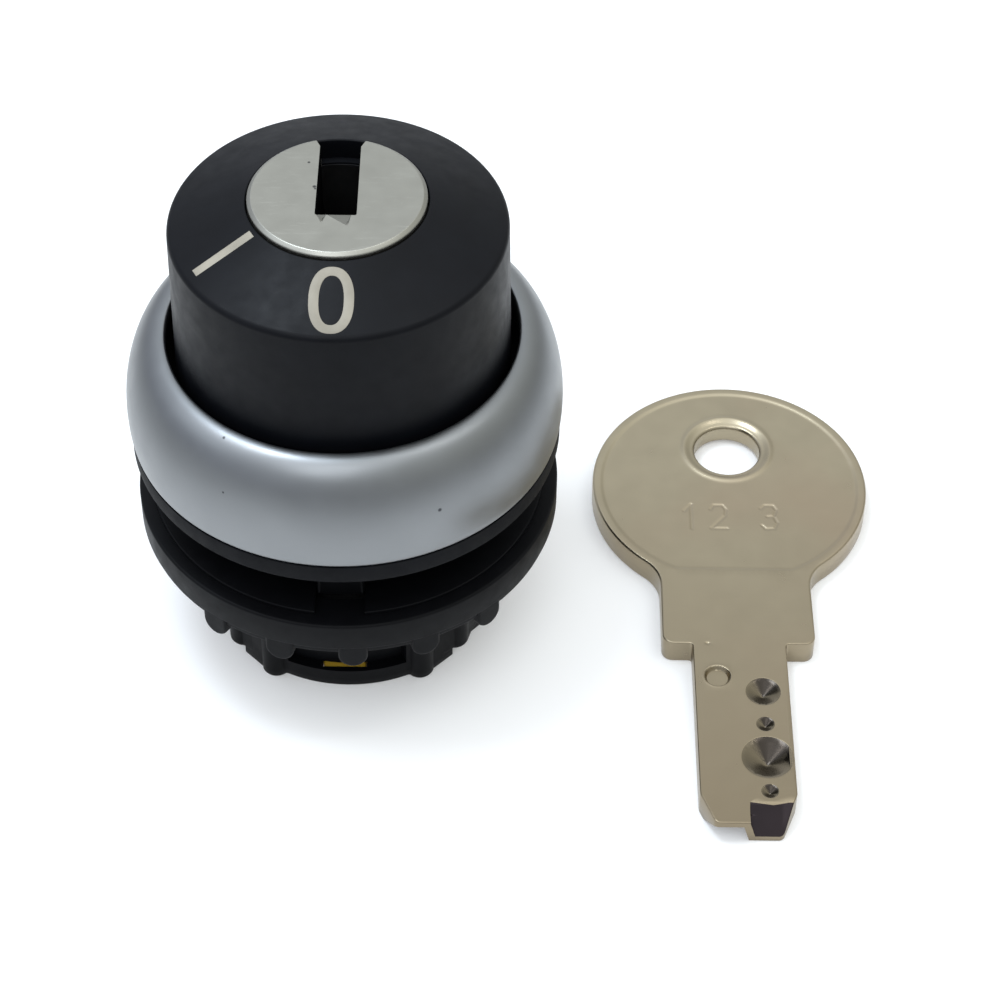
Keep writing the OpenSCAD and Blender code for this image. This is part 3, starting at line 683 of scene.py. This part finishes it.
def make_hub():
    """The ribbed hub under the neck, with a window in front and one behind."""
    points = hub_outline()
    low, inner = floor_z, 8.6
    step_z = low + SHORT_RIB_LIFT
    rows = (  # height, inset, inset of the short ribs
        (low, 0.42, None), (low + 0.05, 0.26, None), (low + 0.16, 0.11, None),
        (low + 0.35, 0.0, None), (step_z, 0.0, None), (step_z, 0.0, 0.25),
        (step_z + 0.06, 0.0, 0.12), (step_z + 0.2, 0.0, 0.03), (step_z + 0.4, 0.0, 0.0),
        (NECK_LOW - 0.4, 0.0, 0.0), (NECK_LOW, 0.0, 0.0))
    loops = [hub_loop(points, *row) for row in rows]
    angles = [atan2(y, x) for x, y, short in points]
    for r, z in ((inner, NECK_LOW), (inner, low + 0.15), (inner + 0.05, low + 0.04),
                 (inner + 0.16, low)):
        loops.append([(r * cos(a), r * sin(a), z) for a in angles])
    obj = skin("housing_hub", loops)

    window_low, window_top = low + 1.75, -9.5
    window_r, beyond_r, half = 9.2, 12.5, 25
    cutters = []
    for side in (-90, 90):
        start, end = radians(side - half), radians(side + half)
        outline = arc(0, 0, window_r, start, end, 40) + arc(0, 0, beyond_r, end, start, 40)
        cutters.append(prism("window", outline, window_low, window_top))
    tab_left, tab_right, tab_front = -1.78, 1.42, -9.55
    cutters.append(block("pocket", (tab_left, tab_front, low - 1),
                         (tab_right, -8, window_low + 0.01)))
    combine(obj, cutters)
    finish_piece(obj, "head", "black_plastic")


# ---- washer and fixing ring ----

def make_washer():
    """The washer on the fixing ring, with its notch for the nose."""
    top, low, outer = washer_high.z, washer_low.z, washer_high.x
    inner = NECK_R + 0.12
    outline = rounded([(inner, low, 0), (outer, low, 0.05),
                       (outer, top, 0.07), (inner, top, 0.05)], 3)
    obj = lathe("anti_turn_washer", outline)
    combine(obj, [block("notch", (-NOTCH_HALF, -15, low - 1), (NOTCH_HALF, -9, top + 1))])
    finish_piece(obj, "washer", "black_plastic", "thrust_washer")


def lug_outline(inset, radius, top, middle):
    """Half-round outline of a lug across its width and height, open to the flange at its top."""
    reach = radius - inset
    shoulder = (top + middle) / 2
    round_end = arc(0, middle, reach, 0, -pi, 16)
    return [(reach, top), (reach, shoulder)] + round_end + [(-reach, shoulder), (-reach, top)]


def make_ring():
    """The fixing ring: a flange, a fine step, a collar and two groups of five lugs."""
    top, low, outer = ring_high.z, ring_low.z, 14.8
    flange_low = top - 2.3
    step_r, step_z = outer - 0.16, flange_low - 0.5
    collar_r, bore_r, relief_r, relief_z = 13.2, NECK_R + 0.06, 12.2, -7.45
    outline = rounded([
        (relief_r, top, 0.08), (outer, top, 0.2), (outer, flange_low, 0.1), (step_r, flange_low, 0),
        (step_r, step_z, 0.12), (collar_r, step_z, 0.1), (collar_r, low, 0.12), (bore_r, low, 0.15),
        (bore_r, relief_z, 0), (relief_r, relief_z, 0)
    ], 5)
    obj = lathe("ring_nut", outline, 324)
    finish_piece(obj, "ring", "black_plastic", "fixing_ring")

    lug_r, lug_first, lug_step = 1.0, -86.6, 20
    middle, face_r = flange_low - 0.85, outer - 0.015
    rows = ((collar_r - 0.3, 0), (face_r - 0.14, 0), (face_r - 0.10, 0.015),
            (face_r - 0.045, 0.055), (face_r - 0.01, 0.11), (face_r, 0.17), (face_r, 0.3))
    for i in range(10):
        group, place = divmod(i, 5)
        turn = radians(lug_first + 180 * group + lug_step * (place - 2))
        loops = []
        for r, inset in rows:
            outline = lug_outline(inset, lug_r, flange_low + 0.2, middle)
            loops.append([(r * cos(turn + t / r), r * sin(turn + t / r), z) for t, z in outline])
        lug = skin(f"ring_lug_{i + 1:02d}", loops, closed=False)
        finish_piece(lug, "ring", "black_plastic")


# ---- lock ----

SLOT_HALF = 1.35
SLOT_END = -2.05


def facet_cut(name, rim, apex):
    """A pit whose rim lies on the lock's face and whose apex lies below it, to cut with."""
    above = lock_high.z + 0.4
    verts = [(x, y, lock_high.z) for x, y in rim] + [(x, y, above) for x, y in rim] + [apex]
    count = len(rim)
    faces = [tuple(range(count, 2 * count))]
    for k in range(count):
        m = (k + 1) % count
        faces += [(k, m, count + m, count + k), (m, k, 2 * count)]
    return piece(name, verts, faces)


def make_lock():
    """The lock's cylinder: its face, the key slot with a flared mouth, and the square spindle."""
    face_r, face_z = lock_high.x, lock_high.z
    seat_z = 19.2
    barrel_r, barrel_low = 5.3, 3.5
    clip_r, clip_low, clip_top = 4.6, 3.8, 4.4
    outline = rounded([
        (0.001, face_z, 0), (face_r - 0.25, face_z, 0.12), (face_r, face_z - 0.2, 0.14),
        (face_r, seat_z, 0.05), (barrel_r, seat_z, 0), (barrel_r, clip_top, 0),
        (clip_r, clip_top, 0), (clip_r, clip_low, 0), (barrel_r, clip_low, 0),
        (barrel_r, barrel_low, 0), (0.001, barrel_low, 0)
    ], 6)
    obj = lathe("lock_face", outline)
    half = 1.75  # half the width of the square spindle
    spindle = block("spindle", (-half, -half, lock_low.z), (half, half, barrel_low + 0.1))
    combine(obj, [spindle], "UNION")
    slot_floor = 4.8
    outline = rounded([(-SLOT_HALF, SLOT_END, 0.12), (SLOT_HALF, SLOT_END, 0.12),
                       (SLOT_HALF, 9, 0), (-SLOT_HALF, 9, 0)], 3)
    slot = prism("slot", outline, slot_floor, face_z + 1)
    flared = SLOT_HALF + 0.4
    side = [(SLOT_HALF, face_r - 1.05), (flared, face_r - 0.22), (flared, face_r + 0.3)]
    mouth = prism("mouth", [(-x, y) for x, y in side] + side[::-1], seat_z + 0.01, face_z + 1)
    combine(obj, [slot, mouth])
    soften(obj, 0.04)
    end = SLOT_END + 0.01
    pits = [facet_cut("pit_left", [(-1.25, end), (-0.62, end), (-0.86, end - 0.85)],
                      (-0.98, end - 0.38, face_z - 0.2)),
            facet_cut("pit_right", [(-0.55, end), (1.0, end), (0.84, end - 1.1)],
                      (0.66, end - 0.72, face_z - 0.24))]
    combine(obj, pits)
    obj.modifiers.new("even_shading", "WEIGHTED_NORMAL").keep_sharp = True
    finish_piece(obj, "barrel", "lock_face_metal", "lock_cylinder")
    obj.data.materials.append(FINISHES["slot_painted_shade"])  # the slot's walls, painted near black as shade, as material 1
    for face in obj.data.polygons:
        c = face.center / MM
        if abs(c.x) < SLOT_HALF + 0.02 and c.y > SLOT_END - 0.02 and c.z < face_z - 0.08:
            face.material_index = 1


# ---- key ----

# The key's own numbers are measured from the middle of its head, with its blade along -Y.
KEY_T = key_high.z - key_low.z
HEAD_R = (key_high.x - key_low.x) / 2
KEY_AT = Vector((key_low.x + HEAD_R, key_high.y - HEAD_R, key_low.z))
NECK_HALF = 5.5
BLADE_HALF = 3.35
FILLET = 3.0
SHOULDER_Y = -15.9
TIP_Y = SHOULDER_Y - 16.05
HOLE_Y = 3.8
HOLE_R = 2.48
HOLE_LIP = 0.3  # rounding of the hole's edge
SINK_R, SINK_DEPTH = 3.27, 0.2
FIELD_R = HEAD_R - 0.7
FIELD_LINE_Y = -8.65
FIELD_CORNER = 1.0
FIELD_DEPTH = 0.08
FIELD_SOFT = 0.18  # half the width of the step into the field
DIMPLE_X = 1.47
DIMPLES = [(SHOULDER_Y - 4.44 - 2.95 * i, radius, depth) for i, (radius, depth) in
           enumerate(((1.25, 0.65), (0.66, 0.38), (1.83, 0.95), (0.62, 0.36)))]
POCKET_X, POCKET_Y, POCKET_R, POCKET_DEPTH = -1.7, SHOULDER_Y - 3.03, 0.95, 0.3
DENT_X, DENT_DEPTH = -2.29, 0.05  # a small dent at the shoulders' height
RAMP_Y = TIP_Y + 1.8
RAMP_FOOT = 0.5  # what is left of the key's thickness at the tip
RAMP_LEFT, RAMP_CREASE, RAMP_DOTS = 0.05, 0.055, 0.06
HEAD_EDGE, BLADE_EDGE = 0.2, 0.09  # rounding of the key's edges
KEY_SHARP = radians(40)
STAMP_HEIGHT, STAMP_WIDTH, STAMP_Y = 2.5, 1.15, -4.6
STAMP_X = {1: -3.1, 2: -0.95, 3: 2.85}
STAMP_DEPTH = 0.045
ROUND_SPACING = 0.16  # between points on the hole's edge and the circles round it


def key_outline():
    """The key's edge, counterclockwise from the tip, the same on both sides of its axis."""
    fx, fr = NECK_HALF + FILLET, HEAD_R + FILLET
    fy = -sqrt(fr * fr - fx * fx)
    join = atan2(fy, fx)
    corner = 0.8
    inner = 0.25
    right = rounded([(0.4, TIP_Y, 0), (BLADE_HALF - 1.0, TIP_Y, 0.45),
                     (BLADE_HALF, TIP_Y + 2.5, 1.2), (BLADE_HALF, SHOULDER_Y - 1.5, 0)], 6)[:-1]
    right += arc(BLADE_HALF + inner, SHOULDER_Y - inner, inner, pi, pi / 2, 4)
    right += arc(NECK_HALF - corner, SHOULDER_Y + corner, corner, -pi / 2, 0, 8)
    right += arc(fx, fy, FILLET, pi, pi + join, 12)
    right += arc(0, 0, HEAD_R, join, pi / 2, 88)[1:-1]
    left = [(-x, y) for x, y in reversed(right)]
    return right + [(0.0, HEAD_R)] + left + [(0.0, TIP_Y)]


def inset_outline(outline, distance):
    """The outline moved inward along its own normals."""
    p = np.array(outline)
    ahead = np.roll(p, -1, 0) - p
    ahead /= np.linalg.norm(ahead, axis=1)[:, None]
    back = np.roll(ahead, 1, 0)
    normal = np.stack([-(ahead + back)[:, 1], (ahead + back)[:, 0]], 1)
    normal /= np.linalg.norm(normal, axis=1)[:, None]
    straight = np.clip((normal * np.stack([-ahead[:, 1], ahead[:, 0]], 1)).sum(1), 0.5, 1)
    return p + normal * (distance / straight)[:, None]


def distance_to_lines(points, starts, ends):
    """Distance from each point to the nearest of some straight lines."""
    best = np.full(len(points), 1e9)
    for p, q in zip(starts, ends):
        d = q - p
        t = np.clip((points - p) @ d / max(d @ d, 1e-12), 0, 1)
        best = np.minimum(best, np.linalg.norm(points - p - t[:, None] * d, axis=1))
    return best


def distance_to_outline(points, outline):
    """Distance from each point to a closed outline."""
    corners = np.array(outline)
    return distance_to_lines(points, corners, np.roll(corners, -1, 0))


def smooth_step(x, low, high):
    """0 below low, 1 above high and a smooth rise between them."""
    t = np.clip((x - low) / (high - low), 0, 1)
    return t * t * (3 - 2 * t)


def stamp_strokes():
    """Stamped digits 1 2 3, as straight strokes: where they start and where they end."""
    glyphs = {
        1: [[(-0.35, 0.72), (0.1, 1.0), (0.1, 0.0)]],
        2: [[(-0.5, 0.8), (-0.28, 0.97), (0.28, 0.97), (0.5, 0.8), (0.45, 0.55), (-0.5, 0.02),
             (0.52, 0.02)]],
        3: [[(-0.5, 0.85), (-0.25, 0.98), (0.28, 0.98), (0.48, 0.8), (0.3, 0.54), (-0.1, 0.52)],
            [(0.3, 0.54), (0.5, 0.28), (0.3, 0.04), (-0.28, 0.02), (-0.5, 0.16)]],
    }
    starts, ends = [], []
    for digit, lines in glyphs.items():
        for line in lines:
            placed = [(STAMP_X[digit] + x * STAMP_WIDTH, STAMP_Y + y * STAMP_HEIGHT)
                      for x, y in line]
            starts += placed[:-1]
            ends += placed[1:]
    return np.array(starts), np.array(ends)


def ridge(distance, width):
    """A small burr beside an edge."""
    return np.exp(-(distance / width) ** 2)


def field_outline(offset):
    """Edge of the coined field, moved inward by an offset: the head's circle cut off by a line."""
    r, line, corner = FIELD_R - offset, FIELD_LINE_Y + offset, FIELD_CORNER
    cy = line + corner
    cx = sqrt((r - corner) ** 2 - cy ** 2)
    meet = atan2(cy, cx)
    right = arc(cx, cy, corner, -pi / 2, meet, 8)
    top = arc(0, 0, r, meet, pi - meet, 170)[1:-1]
    left = arc(-cx, cy, corner, pi - meet, 3 * pi / 2, 8)
    line_points = [(-cx + 2 * cx * k / 40, line) for k in range(1, 40)]
    return right + top + left + line_points


def face_depth(points, outline):
    """How far the key's face lies below its full thickness at each point."""
    x, y = points[:, 0], points[:, 1]
    edge = BLADE_EDGE + (HEAD_EDGE - BLADE_EDGE) * smooth_step(y, SHOULDER_Y, FIELD_LINE_Y)
    from_edge = np.clip(distance_to_outline(points, outline), 0, edge)
    depth = edge - np.sqrt(np.maximum(edge ** 2 - (edge - from_edge) ** 2, 0))

    hole = np.hypot(x, y - HOLE_Y)
    field = field_outline(0)
    in_field = distance_to_outline(points, field) * np.where(inside(points, field), 1, -1)
    in_field = np.minimum(in_field, hole - SINK_R - 0.2)
    depth += FIELD_DEPTH * smooth_step(in_field, -FIELD_SOFT, FIELD_SOFT)

    sink = SINK_DEPTH * smooth_step(-hole, -SINK_R, -HOLE_R - HOLE_LIP)
    bend = np.clip(HOLE_R + HOLE_LIP - hole, 0, HOLE_LIP)
    sink += HOLE_LIP - np.sqrt(np.maximum(HOLE_LIP ** 2 - bend ** 2, 0))
    depth = np.maximum(depth, sink)

    near_text = (np.abs(x) < 4.6) & (y > -5.4) & (y < -1.2)
    stroke = distance_to_lines(points[near_text], *stamp_strokes())
    depth[near_text] += STAMP_DEPTH * smooth_step(-stroke, -0.17, -0.03)

    for middle_y, r, low in DIMPLES:
        rho = np.hypot(x - DIMPLE_X, y - middle_y)
        cone = low * np.clip(1 - rho / r, 0, 0.97) / 0.97
        depth = np.maximum(depth, np.where(rho < r, cone, 0))
        depth -= 0.012 * ridge(rho - r - 0.06, 0.06)
    rho = np.hypot(x - POCKET_X, y - POCKET_Y)
    depth = np.maximum(depth, POCKET_DEPTH * smooth_step(-rho, -POCKET_R, -POCKET_R + 0.2))
    depth -= 0.02 * ridge(rho - POCKET_R - 0.06, 0.06)
    dent = np.hypot((x - DENT_X) / 1.4, y - SHOULDER_Y)
    depth += DENT_DEPTH * smooth_step(-dent, -0.17, -0.03)

    ramp = np.clip((RAMP_Y - y) / (RAMP_Y - TIP_Y), 0, 1) * (KEY_T - RAMP_FOOT)
    return np.where(x > RAMP_LEFT, np.maximum(depth, ramp), depth)


def circle_points(cx, cy, r, spacing):
    """Points round a circle, at least twelve, no further apart than the spacing."""
    return arc(cx, cy, r, 0, TURN, max(12, ceil(TURN * r / spacing)))[:-1]


def inside(points, outline):
    """True for each point within a closed outline."""
    x, y = points[:, 0], points[:, 1]
    result = np.zeros(len(points), bool)
    p = np.array(outline)
    q = np.roll(p, -1, 0)
    for (ax, ay), (bx, by) in zip(p, q):
        if ay == by:
            continue
        result ^= ((ay > y) != (by > y)) & (x < (bx - ax) * (y - ay) / (by - ay) + ax)
    return result


def key_points(outline):
    """Points and the edges that the key's face keeps: its own edge, the hole, and every feature."""
    points, edges = [], []

    def add_loop(loop, closed=True):
        """Adds points and the edges between them."""
        first = len(points)
        points.extend(tuple(map(float, p)) for p in loop)
        count = len(loop) if closed else len(loop) - 1
        edges.extend((first + k, first + (k + 1) % len(loop)) for k in range(count))

    def add_circles(x, y, radii, spacing):
        """Adds points round circles, without edges."""
        for r in radii:
            points.extend(circle_points(x, y, r, spacing))

    add_loop(outline)
    add_loop(circle_points(0, HOLE_Y, HOLE_R, ROUND_SPACING))
    hole = range(len(outline), len(points))
    for distance in (0.02, 0.05, 0.09, 0.14, 0.2, 0.32):
        add_loop(inset_outline(outline, distance))
    for extra in (0.03, 0.08, 0.14, 0.2, 0.3, 0.45, 0.62, 0.79, 0.81, 0.88, 0.97, 1.06, 1.15, 1.3):
        add_loop(circle_points(0, HOLE_Y, HOLE_R + extra, ROUND_SPACING))
    for offset in (-0.18, -0.12, -0.06, 0.0, 0.06, 0.12, 0.18, 0.32):
        add_loop(field_outline(offset))
    for y, r, _ in DIMPLES:
        add_circles(DIMPLE_X, y, [r * share for share in (0.99, 0.8, 0.6, 0.4, 0.2, 0.03)], 0.12)
        add_circles(DIMPLE_X, y, [r + extra for extra in (0.0, 0.06, 0.12, 0.2)], 0.12)
    steps = (-0.2, -0.12, -0.06, 0.0, 0.05, 0.1, 0.15, 0.2, 0.3)
    add_circles(POCKET_X, POCKET_Y, [POCKET_R - step for step in steps], 0.14)
    add_circles(DENT_X, SHOULDER_Y, (0.25, 0.17, 0.1, 0.05), 0.06)
    add_loop([(RAMP_LEFT, RAMP_Y + 0.02), (RAMP_LEFT, TIP_Y + 0.01)], closed=False)
    add_loop([(RAMP_CREASE, RAMP_Y), (BLADE_HALF - 0.3, RAMP_Y)], closed=False)
    points.extend((RAMP_DOTS, RAMP_Y - (RAMP_Y - TIP_Y) * k / 16) for k in range(1, 16))

    fine, coarse = 0.075, 0.55  # grids under the stamp and over the rest of the face
    points.extend((-4.5 + fine * i, -4.9 + fine * j)
                  for i in range(int(9 / fine)) for j in range(int(3.4 / fine)))
    grid = np.array([(coarse * i, TIP_Y + coarse * j) for i in range(-19, 20) for j in range(80)])
    keep = inside(grid, outline) & (distance_to_outline(grid, outline) > 0.5)
    keep &= np.hypot(grid[:, 0], grid[:, 1] - HOLE_Y) > SINK_R + 0.6
    points.extend(tuple(map(float, p)) for p in grid[keep])
    return points, edges, hole


def make_key():
    """The key: a shaped face, the same face turned over below it, and the walls between."""
    outline = key_outline()
    points, edges, hole = key_points(outline)
    verts, _, faces, origin, _, _ = delaunay_2d_cdt([Vector(p) for p in points], edges, [], 0, 1e-4)
    flat = np.array([tuple(v) for v in verts])
    new_of = {old: new for new, olds in enumerate(origin) for old in olds}
    middles = np.array([flat[list(f)].mean(0) for f in faces])
    bore = [points[k] for k in hole]
    kept = inside(middles, outline) & ~inside(middles, bore)
    faces = [f for f, k in zip(faces, kept) if k]
    depth = face_depth(flat, outline)
    top = [(KEY_AT.x + x, KEY_AT.y + y, KEY_AT.z + KEY_T - d) for (x, y), d in zip(flat, depth)]
    low = [(KEY_AT.x - x, KEY_AT.y + y, KEY_AT.z + d) for (x, y), d in zip(flat, depth)]
    size = len(top)
    solid = [tuple(f) for f in faces] + [tuple(size + i for i in f) for f in faces]
    for first, loop in ((0, outline), (hole[0], bore)):
        count = len(loop)
        upper = [new_of[first + k] for k in range(count)]
        lower = []  # the underside is turned over, so x there is -x here
        for x, y in loop:
            match = min(range(count), key=lambda m: hypot(loop[m][0] + x, loop[m][1] - y))
            lower.append(size + upper[match])
        for k in range(count):
            m = (k + 1) % count
            solid.append((upper[k], upper[m], lower[m], lower[k]))
    obj = piece("key_blank", top + low, solid, KEY_SHARP)
    work = bmesh.new()
    work.from_mesh(obj.data)
    loose = [v for v in work.verts if not v.link_faces]
    bmesh.ops.delete(work, geom=loose, context="VERTS")
    work.to_mesh(obj.data)
    work.free()
    obj.data.set_sharp_from_angle(angle=KEY_SHARP)
    finish_piece(obj, "loose_key", "nickel_silver", "key")
    obj.data.materials.append(FINISHES["cut_nickel_and_shade"])  # dimples, cut metal with painted shade, as material 1
    obj.data.materials.append(FINISHES["milled_nickel_painted_dark"])  # ramp, painted near black as a dark reflection, as material 2
    for face in obj.data.polygons:
        c = face.center / MM - KEY_AT
        side = 1 if face.normal.z > 0 else -1
        # the ramp's faces take the near-black painted reflection
        if c.y < RAMP_Y - 0.08 and side * c.x > 0.12 and abs(face.normal.z) > 0.3:
            face.material_index = 2
        if any(hypot(side * c.x - DIMPLE_X, c.y - y) < r for y, r, _ in DIMPLES):
            face.material_index = 1


# ---- plunger springs ----

SPRING_WIRE = 0.15  # radius of the wire
SPRING_TURNS = 5


def make_plunger_springs():
    """The plungers' return springs, built at one length, though in the switch they get shorter as
    the key presses the plungers down.
    """
    steps, around = 32, 12  # points along a turn and round the wire
    for side in ("left", "right"):
        low, high = node_box("plunger_spring_" + side)
        middle = (low + high) / 2
        coil_r = (high.x - low.x) / 2 - SPRING_WIRE
        height = high.z - low.z
        loops = []
        for k in range(SPRING_TURNS * steps + 1):
            out = Vector((cos(TURN * k / steps), sin(TURN * k / steps), 0))
            rise = SPRING_WIRE + (height - 2 * SPRING_WIRE) * k / (SPRING_TURNS * steps)
            centre = Vector((middle.x, middle.y, low.z + rise)) + coil_r * out
            loops.append([centre + SPRING_WIRE * (cos(a) * out + Vector((0, 0, sin(a))))
                          for a in (TURN * m / around for m in range(around))])
        obj = skin("return_spring_" + side, loops, closed=False)
        finish_piece(obj, "head", "spring_steel", "plunger_spring_" + side)
        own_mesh(obj)


# ---- carried-over CAD nodes ----

def dress_cad_nodes():
    """Every CAD node gets the finish of its slot, and the moulded ones in view get round edges."""
    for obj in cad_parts.values():
        slot = obj.data.materials[0].name.split(".")[0]
        obj.material_slots[0].material = FINISHES[slot]
    for name, width in (("guide_plate", 0.12), ("coding_adapter", 0.1), ("rear_screws", 0.06)):
        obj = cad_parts[name]
        obj.modifiers.new("weld", "WELD").merge_threshold = 1e-6
        round_edges(obj, width, radians(40))


# ---- stage ----

CAMERA_AT = (10.758, -139.623, 140.021)
CAMERA_TILT = radians(46.574)
CAMERA_ROLL = radians(0.749)
CAMERA_LENS = 101.88

LIGHTS_AIM = (10, 0, 0)
SOFTBOXES = (
    # name, place, size, power, colour
    ("left_window", (-260, -40, 220), (200, 200), 0.08, (0.86, 0.94, 1.0)),
    ("left_tube", (-170, -10, 380), (26, 150), 0.10, (1, 1, 1)),
    ("right_tube", (190, -10, 380), (26, 150), 0.10, (1, 1, 1)),
    ("overhead", (-50, -240, 320), (170, 240), 0.25, (0.92, 0.96, 1.0)),
    ("window", (-114, 46, 361), (90, 110), 0.50, (0.78, 0.89, 1.0)),
)

# the floor has a painted pool of light round the switch, darker far off, and a painted glow
FLOOR_HALF = 900
FLOOR_PALE, FLOOR_FAR = (0.78,) * 3, (0.39,) * 3
FLOOR_GLOW, FLOOR_GLOW_FAR = 0.22, (0.3,) * 3
# axis, middle of the painted pool of light, and the distances from it where it starts and stops to
# fade
FLOOR_FADES = (("X", 12, 40, 90), ("Y", 35, 69, 130))


def make_camera():
    """The camera stands in front of the switch and looks down at it."""
    ahead = Vector((0, cos(CAMERA_TILT), -sin(CAMERA_TILT)))
    right = Vector((1, 0, 0))
    up = right.cross(ahead)
    columns = (right * cos(CAMERA_ROLL) + up * sin(CAMERA_ROLL),
               up * cos(CAMERA_ROLL) - right * sin(CAMERA_ROLL), -ahead)
    data = bpy.data.cameras.new("camera")
    data.lens = CAMERA_LENS
    data.sensor_width = 36
    data.clip_start = 0.01
    data.clip_end = 10
    camera = add_object("camera", data)
    turn = Matrix(columns).transposed()
    camera.matrix_world = Matrix.Translation(Vector(CAMERA_AT) * MM) @ turn.to_4x4()
    bpy.context.scene.camera = camera


def softbox(name, at, size, power, colour):
    """A soft rectangular light that looks at the middle of the scene."""
    data = bpy.data.lights.new(name, "AREA")
    data.shape = "RECTANGLE"
    data.size, data.size_y = size[0] * MM, size[1] * MM
    data.energy = power
    data.color = colour
    obj = add_object(name, data)
    obj.location = Vector(at) * MM
    obj.rotation_mode = "QUATERNION"
    obj.rotation_quaternion = (Vector(LIGHTS_AIM) - Vector(at)).to_track_quat("-Z", "Y")


def make_world():
    """A pale room, brightest overhead and behind, and darker in front."""
    world = bpy.data.worlds.new("room")
    bpy.context.scene.world = world
    world.use_nodes = True
    tree = world.node_tree

    def node(kind, output, inputs=None, **settings):
        """Adds a node and gives one of its outputs."""
        return add_node(tree, kind, inputs, **settings).outputs[output]

    place = node("TexCoord", "Generated")
    parts = add_node(tree, "SeparateXYZ", {0: place}).outputs

    ramp = add_node(tree, "ValToRGB", {"Fac": parts["Z"]})
    stops = ramp.color_ramp.elements
    stops[0].color, stops[1].color = (0.30, 0.30, 0.31, 1), (1, 1, 1, 1)
    for position, level in ((0.35, 0.42), (0.70, 0.56), (0.90, 0.86)):
        stops.new(position).color = (level, level, level, 1)

    front = node("VectorMath", "Value", {0: place, 1: (0.05, -0.98, -0.18)},
                 operation="DOT_PRODUCT")
    shade = node("MapRange", "Result", {
        "Value": front, "From Min": 0.70, "From Max": 0.97, "To Min": 1.0, "To Max": 0.88
    }, interpolation_type="SMOOTHSTEP")
    back = node("MapRange", "Result", {
        "Value": parts["Y"], "From Min": 0.78, "From Max": 1.0, "To Min": 1.75, "To Max": 2.9
    }, interpolation_type="SMOOTHSTEP")
    sides = node("MapRange", "Result", {"Value": parts["X"], "From Min": -1})
    left, right = (0.90, 0.96, 1.08, 1), (0.92, 0.94, 0.88, 1)
    tint = node("Mix", 2, {"Factor": sides, 6: left, 7: right}, data_type="RGBA")
    lit = node("Mix", 2, {"Factor": 1, 6: ramp.outputs["Color"], 7: tint},
               data_type="RGBA", blend_type="MULTIPLY")
    strength = node("Math", "Value", {0: shade, 1: back}, operation="MULTIPLY")
    background = tree.nodes["Background"]
    tree.links.new(lit, background.inputs["Color"])
    tree.links.new(strength, background.inputs["Strength"])


def make_floor():
    """A floor with a painted pool of light under the switch, darker far away from it, and a painted
    glow.
    """
    corners = ((-1, -1), (1, -1), (1, 1), (-1, 1))
    mesh = bpy.data.meshes.new("floor")
    mesh.from_pydata([(x * FLOOR_HALF * MM, y * FLOOR_HALF * MM, floor_z * MM) for x, y in corners],
                     [], [(0, 1, 2, 3)])
    paint = Finish("floor_paint", FLOOR_PALE, 0, 0.9)
    place = paint.node("SeparateXYZ", {"Vector": paint.place}).outputs
    share = 0
    for axis, middle, near, far in FLOOR_FADES:
        away = paint.math("ABSOLUTE", paint.math("SUBTRACT", place[axis], middle * MM), 0)
        share = paint.math("MAXIMUM", share, paint.ramp(away, near * MM, far * MM))
    paint.feed("Base Color", paint.mix(share, FLOOR_PALE, FLOOR_FAR))
    # painted glow: the floor gives off light of its own, most in the pool
    paint.feed("Emission Color", paint.mix(share, (1, 1, 1), FLOOR_GLOW_FAR))
    paint.set("Emission Strength", FLOOR_GLOW)
    mesh.materials.append(paint.material)
    add_object("floor", mesh)


def main():
    """Builds every piece, dresses the CAD nodes, and sets camera, floor, room and lights."""
    bpy.context.scene.view_settings.view_transform = "Standard"
    make_camera()
    for make in (make_cap, make_marks, make_bezel, make_gasket, make_housing, make_hub, make_washer,
                 make_ring, make_lock, make_key, make_plunger_springs, dress_cad_nodes):
        make()
    make_floor()
    make_world()
    for settings in SOFTBOXES:
        softbox(*settings)


main()
